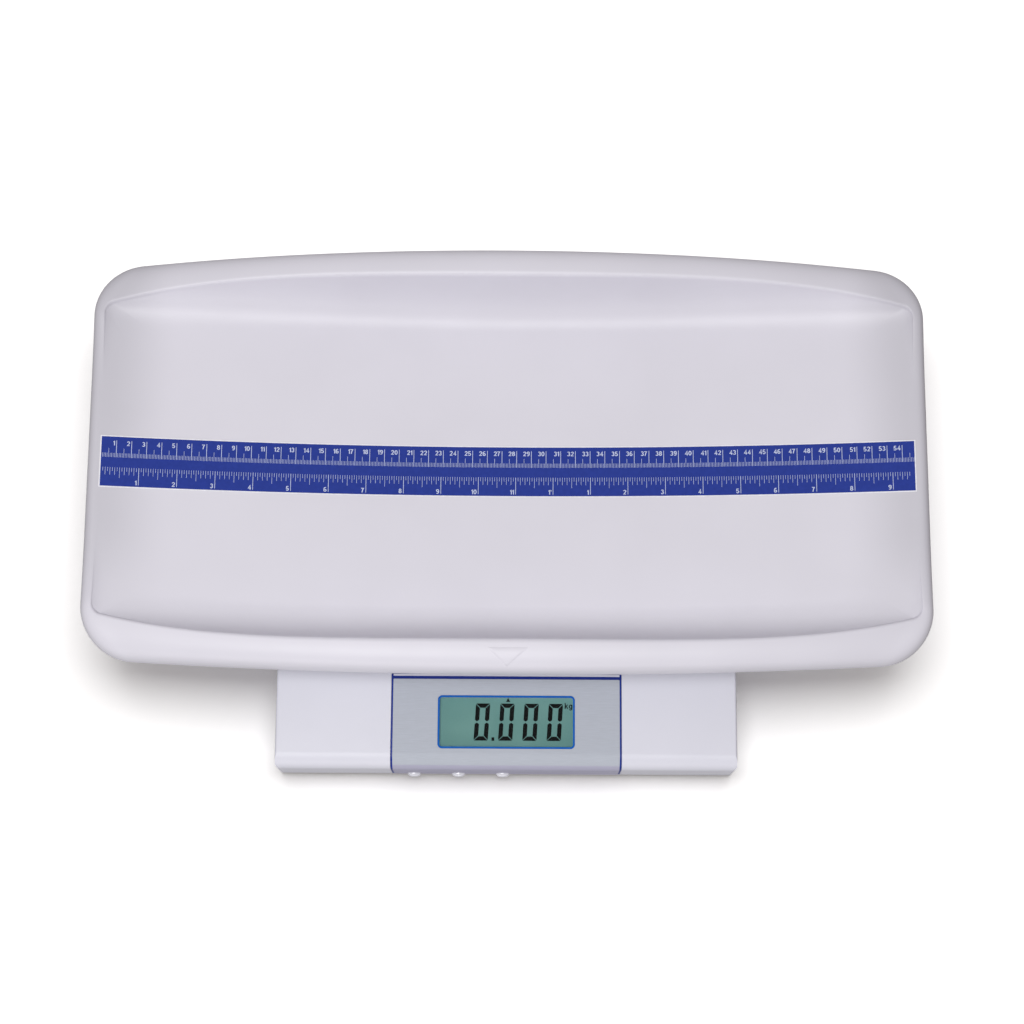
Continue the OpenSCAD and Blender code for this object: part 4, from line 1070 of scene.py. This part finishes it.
def choose_by_camera(tree, seen, other, output):
    """What the camera sees directly has one shader, and every other ray meets another."""
    rays = add_node(tree, "ShaderNodeLightPath")
    choose = add_node(tree, "ShaderNodeMixShader")
    tree.links.new(rays.outputs["Is Camera Ray"], choose.inputs[0])
    tree.links.new(other.outputs[0], choose.inputs[1])
    tree.links.new(seen.outputs[0], choose.inputs[2])
    tree.links.new(choose.outputs[0], tree.nodes[output].inputs["Surface"])


def add_floor():
    """A white floor that keeps the shadow and reads as white round it."""
    material, tree, shader = new_material("studio_floor")
    tree.nodes.remove(shader)
    seen = add_node(tree, "ShaderNodeBsdfDiffuse")
    seen.inputs["Color"].default_value = (FLOOR_SEEN, FLOOR_SEEN, FLOOR_SEEN, 1)
    bounced = add_node(tree, "ShaderNodeBsdfDiffuse")
    bounced.inputs["Color"].default_value = (FLOOR_BOUNCE, FLOOR_BOUNCE, FLOOR_BOUNCE, 1)
    choose_by_camera(tree, seen, bounced, "Material Output")
    s = FLOOR_SIZE / MM
    floor = add_mesh("studio_floor", [(-s, -s, 0), (s, -s, 0), (s, s, 0), (-s, s, 0)],
                     [(0, 1, 2, 3)], material)
    return floor


# Each soft lamp's place and size in metres, its power in watts, and whether it lights the floor
# alone (INCLUDE) or all but the floor (EXCLUDE)
LIGHT_AIM = Vector((0, 0, 0.05))
LAMPS = {
    "floor_key": ((0.0, 0.3, 2.1), (1.4, 1.1), 23.5, "INCLUDE"),
    "key": ((-0.25, -0.45, 2.05), (0.9, 0.9), 27, "EXCLUDE"),
    "front_fill": ((-0.4, -2.2, 0.55), (1.8, 0.8), 8.5, "EXCLUDE"),
    "front_card": ((-0.1, -0.75, 0.12), (0.9, 0.2), 0.45, "EXCLUDE"),
    "back_fill": ((-0.3, 1.7, 1.7), (1.4, 1.0), 4, "EXCLUDE"),
}


def add_light(name, floor):
    place, size, power, state = LAMPS[name]
    data = bpy.data.lights.new(name, "AREA")
    data.shape = "RECTANGLE"
    data.size, data.size_y = size
    data.energy = power
    lamp = bpy.data.objects.new(name, data)
    lamp.location = place
    lamp.rotation_euler = (LIGHT_AIM - Vector(place)).to_track_quat("-Z", "Y").to_euler()
    bpy.context.scene.collection.objects.link(lamp)
    receivers = bpy.data.collections.new(name + "_receivers")
    receivers.objects.link(floor)
    receivers.collection_objects[0].light_linking.link_state = state
    lamp.light_linking.receiver_collection = receivers


WORLD_COLOUR = (1.0, 0.955, 0.935, 1.0)
WORLD_STRENGTH = 0.3


def add_world():
    """Faint light from all round, behind which the camera sees plain white."""
    world = bpy.data.worlds.new("studio")
    bpy.context.scene.world = world
    world.use_nodes = True
    tree = world.node_tree
    background = tree.nodes["Background"]
    background.inputs["Color"].default_value = WORLD_COLOUR
    background.inputs["Strength"].default_value = WORLD_STRENGTH
    white = add_node(tree, "ShaderNodeBackground")
    white.inputs["Color"].default_value = (1, 1, 1, 1)
    white.inputs["Strength"].default_value = 1.0
    choose_by_camera(tree, white, background, "World Output")


add_camera()
dress_nodes()
add_tray()
add_cups()
add_strip()
add_digits()
add_back_lip()
for place in ("left", "middle", "right"):
    add_cap(place + "_button")
floor = add_floor()
for name in LAMPS:
    add_light(name, floor)
add_world()

bpy.context.scene.view_settings.view_transform = "Standard"
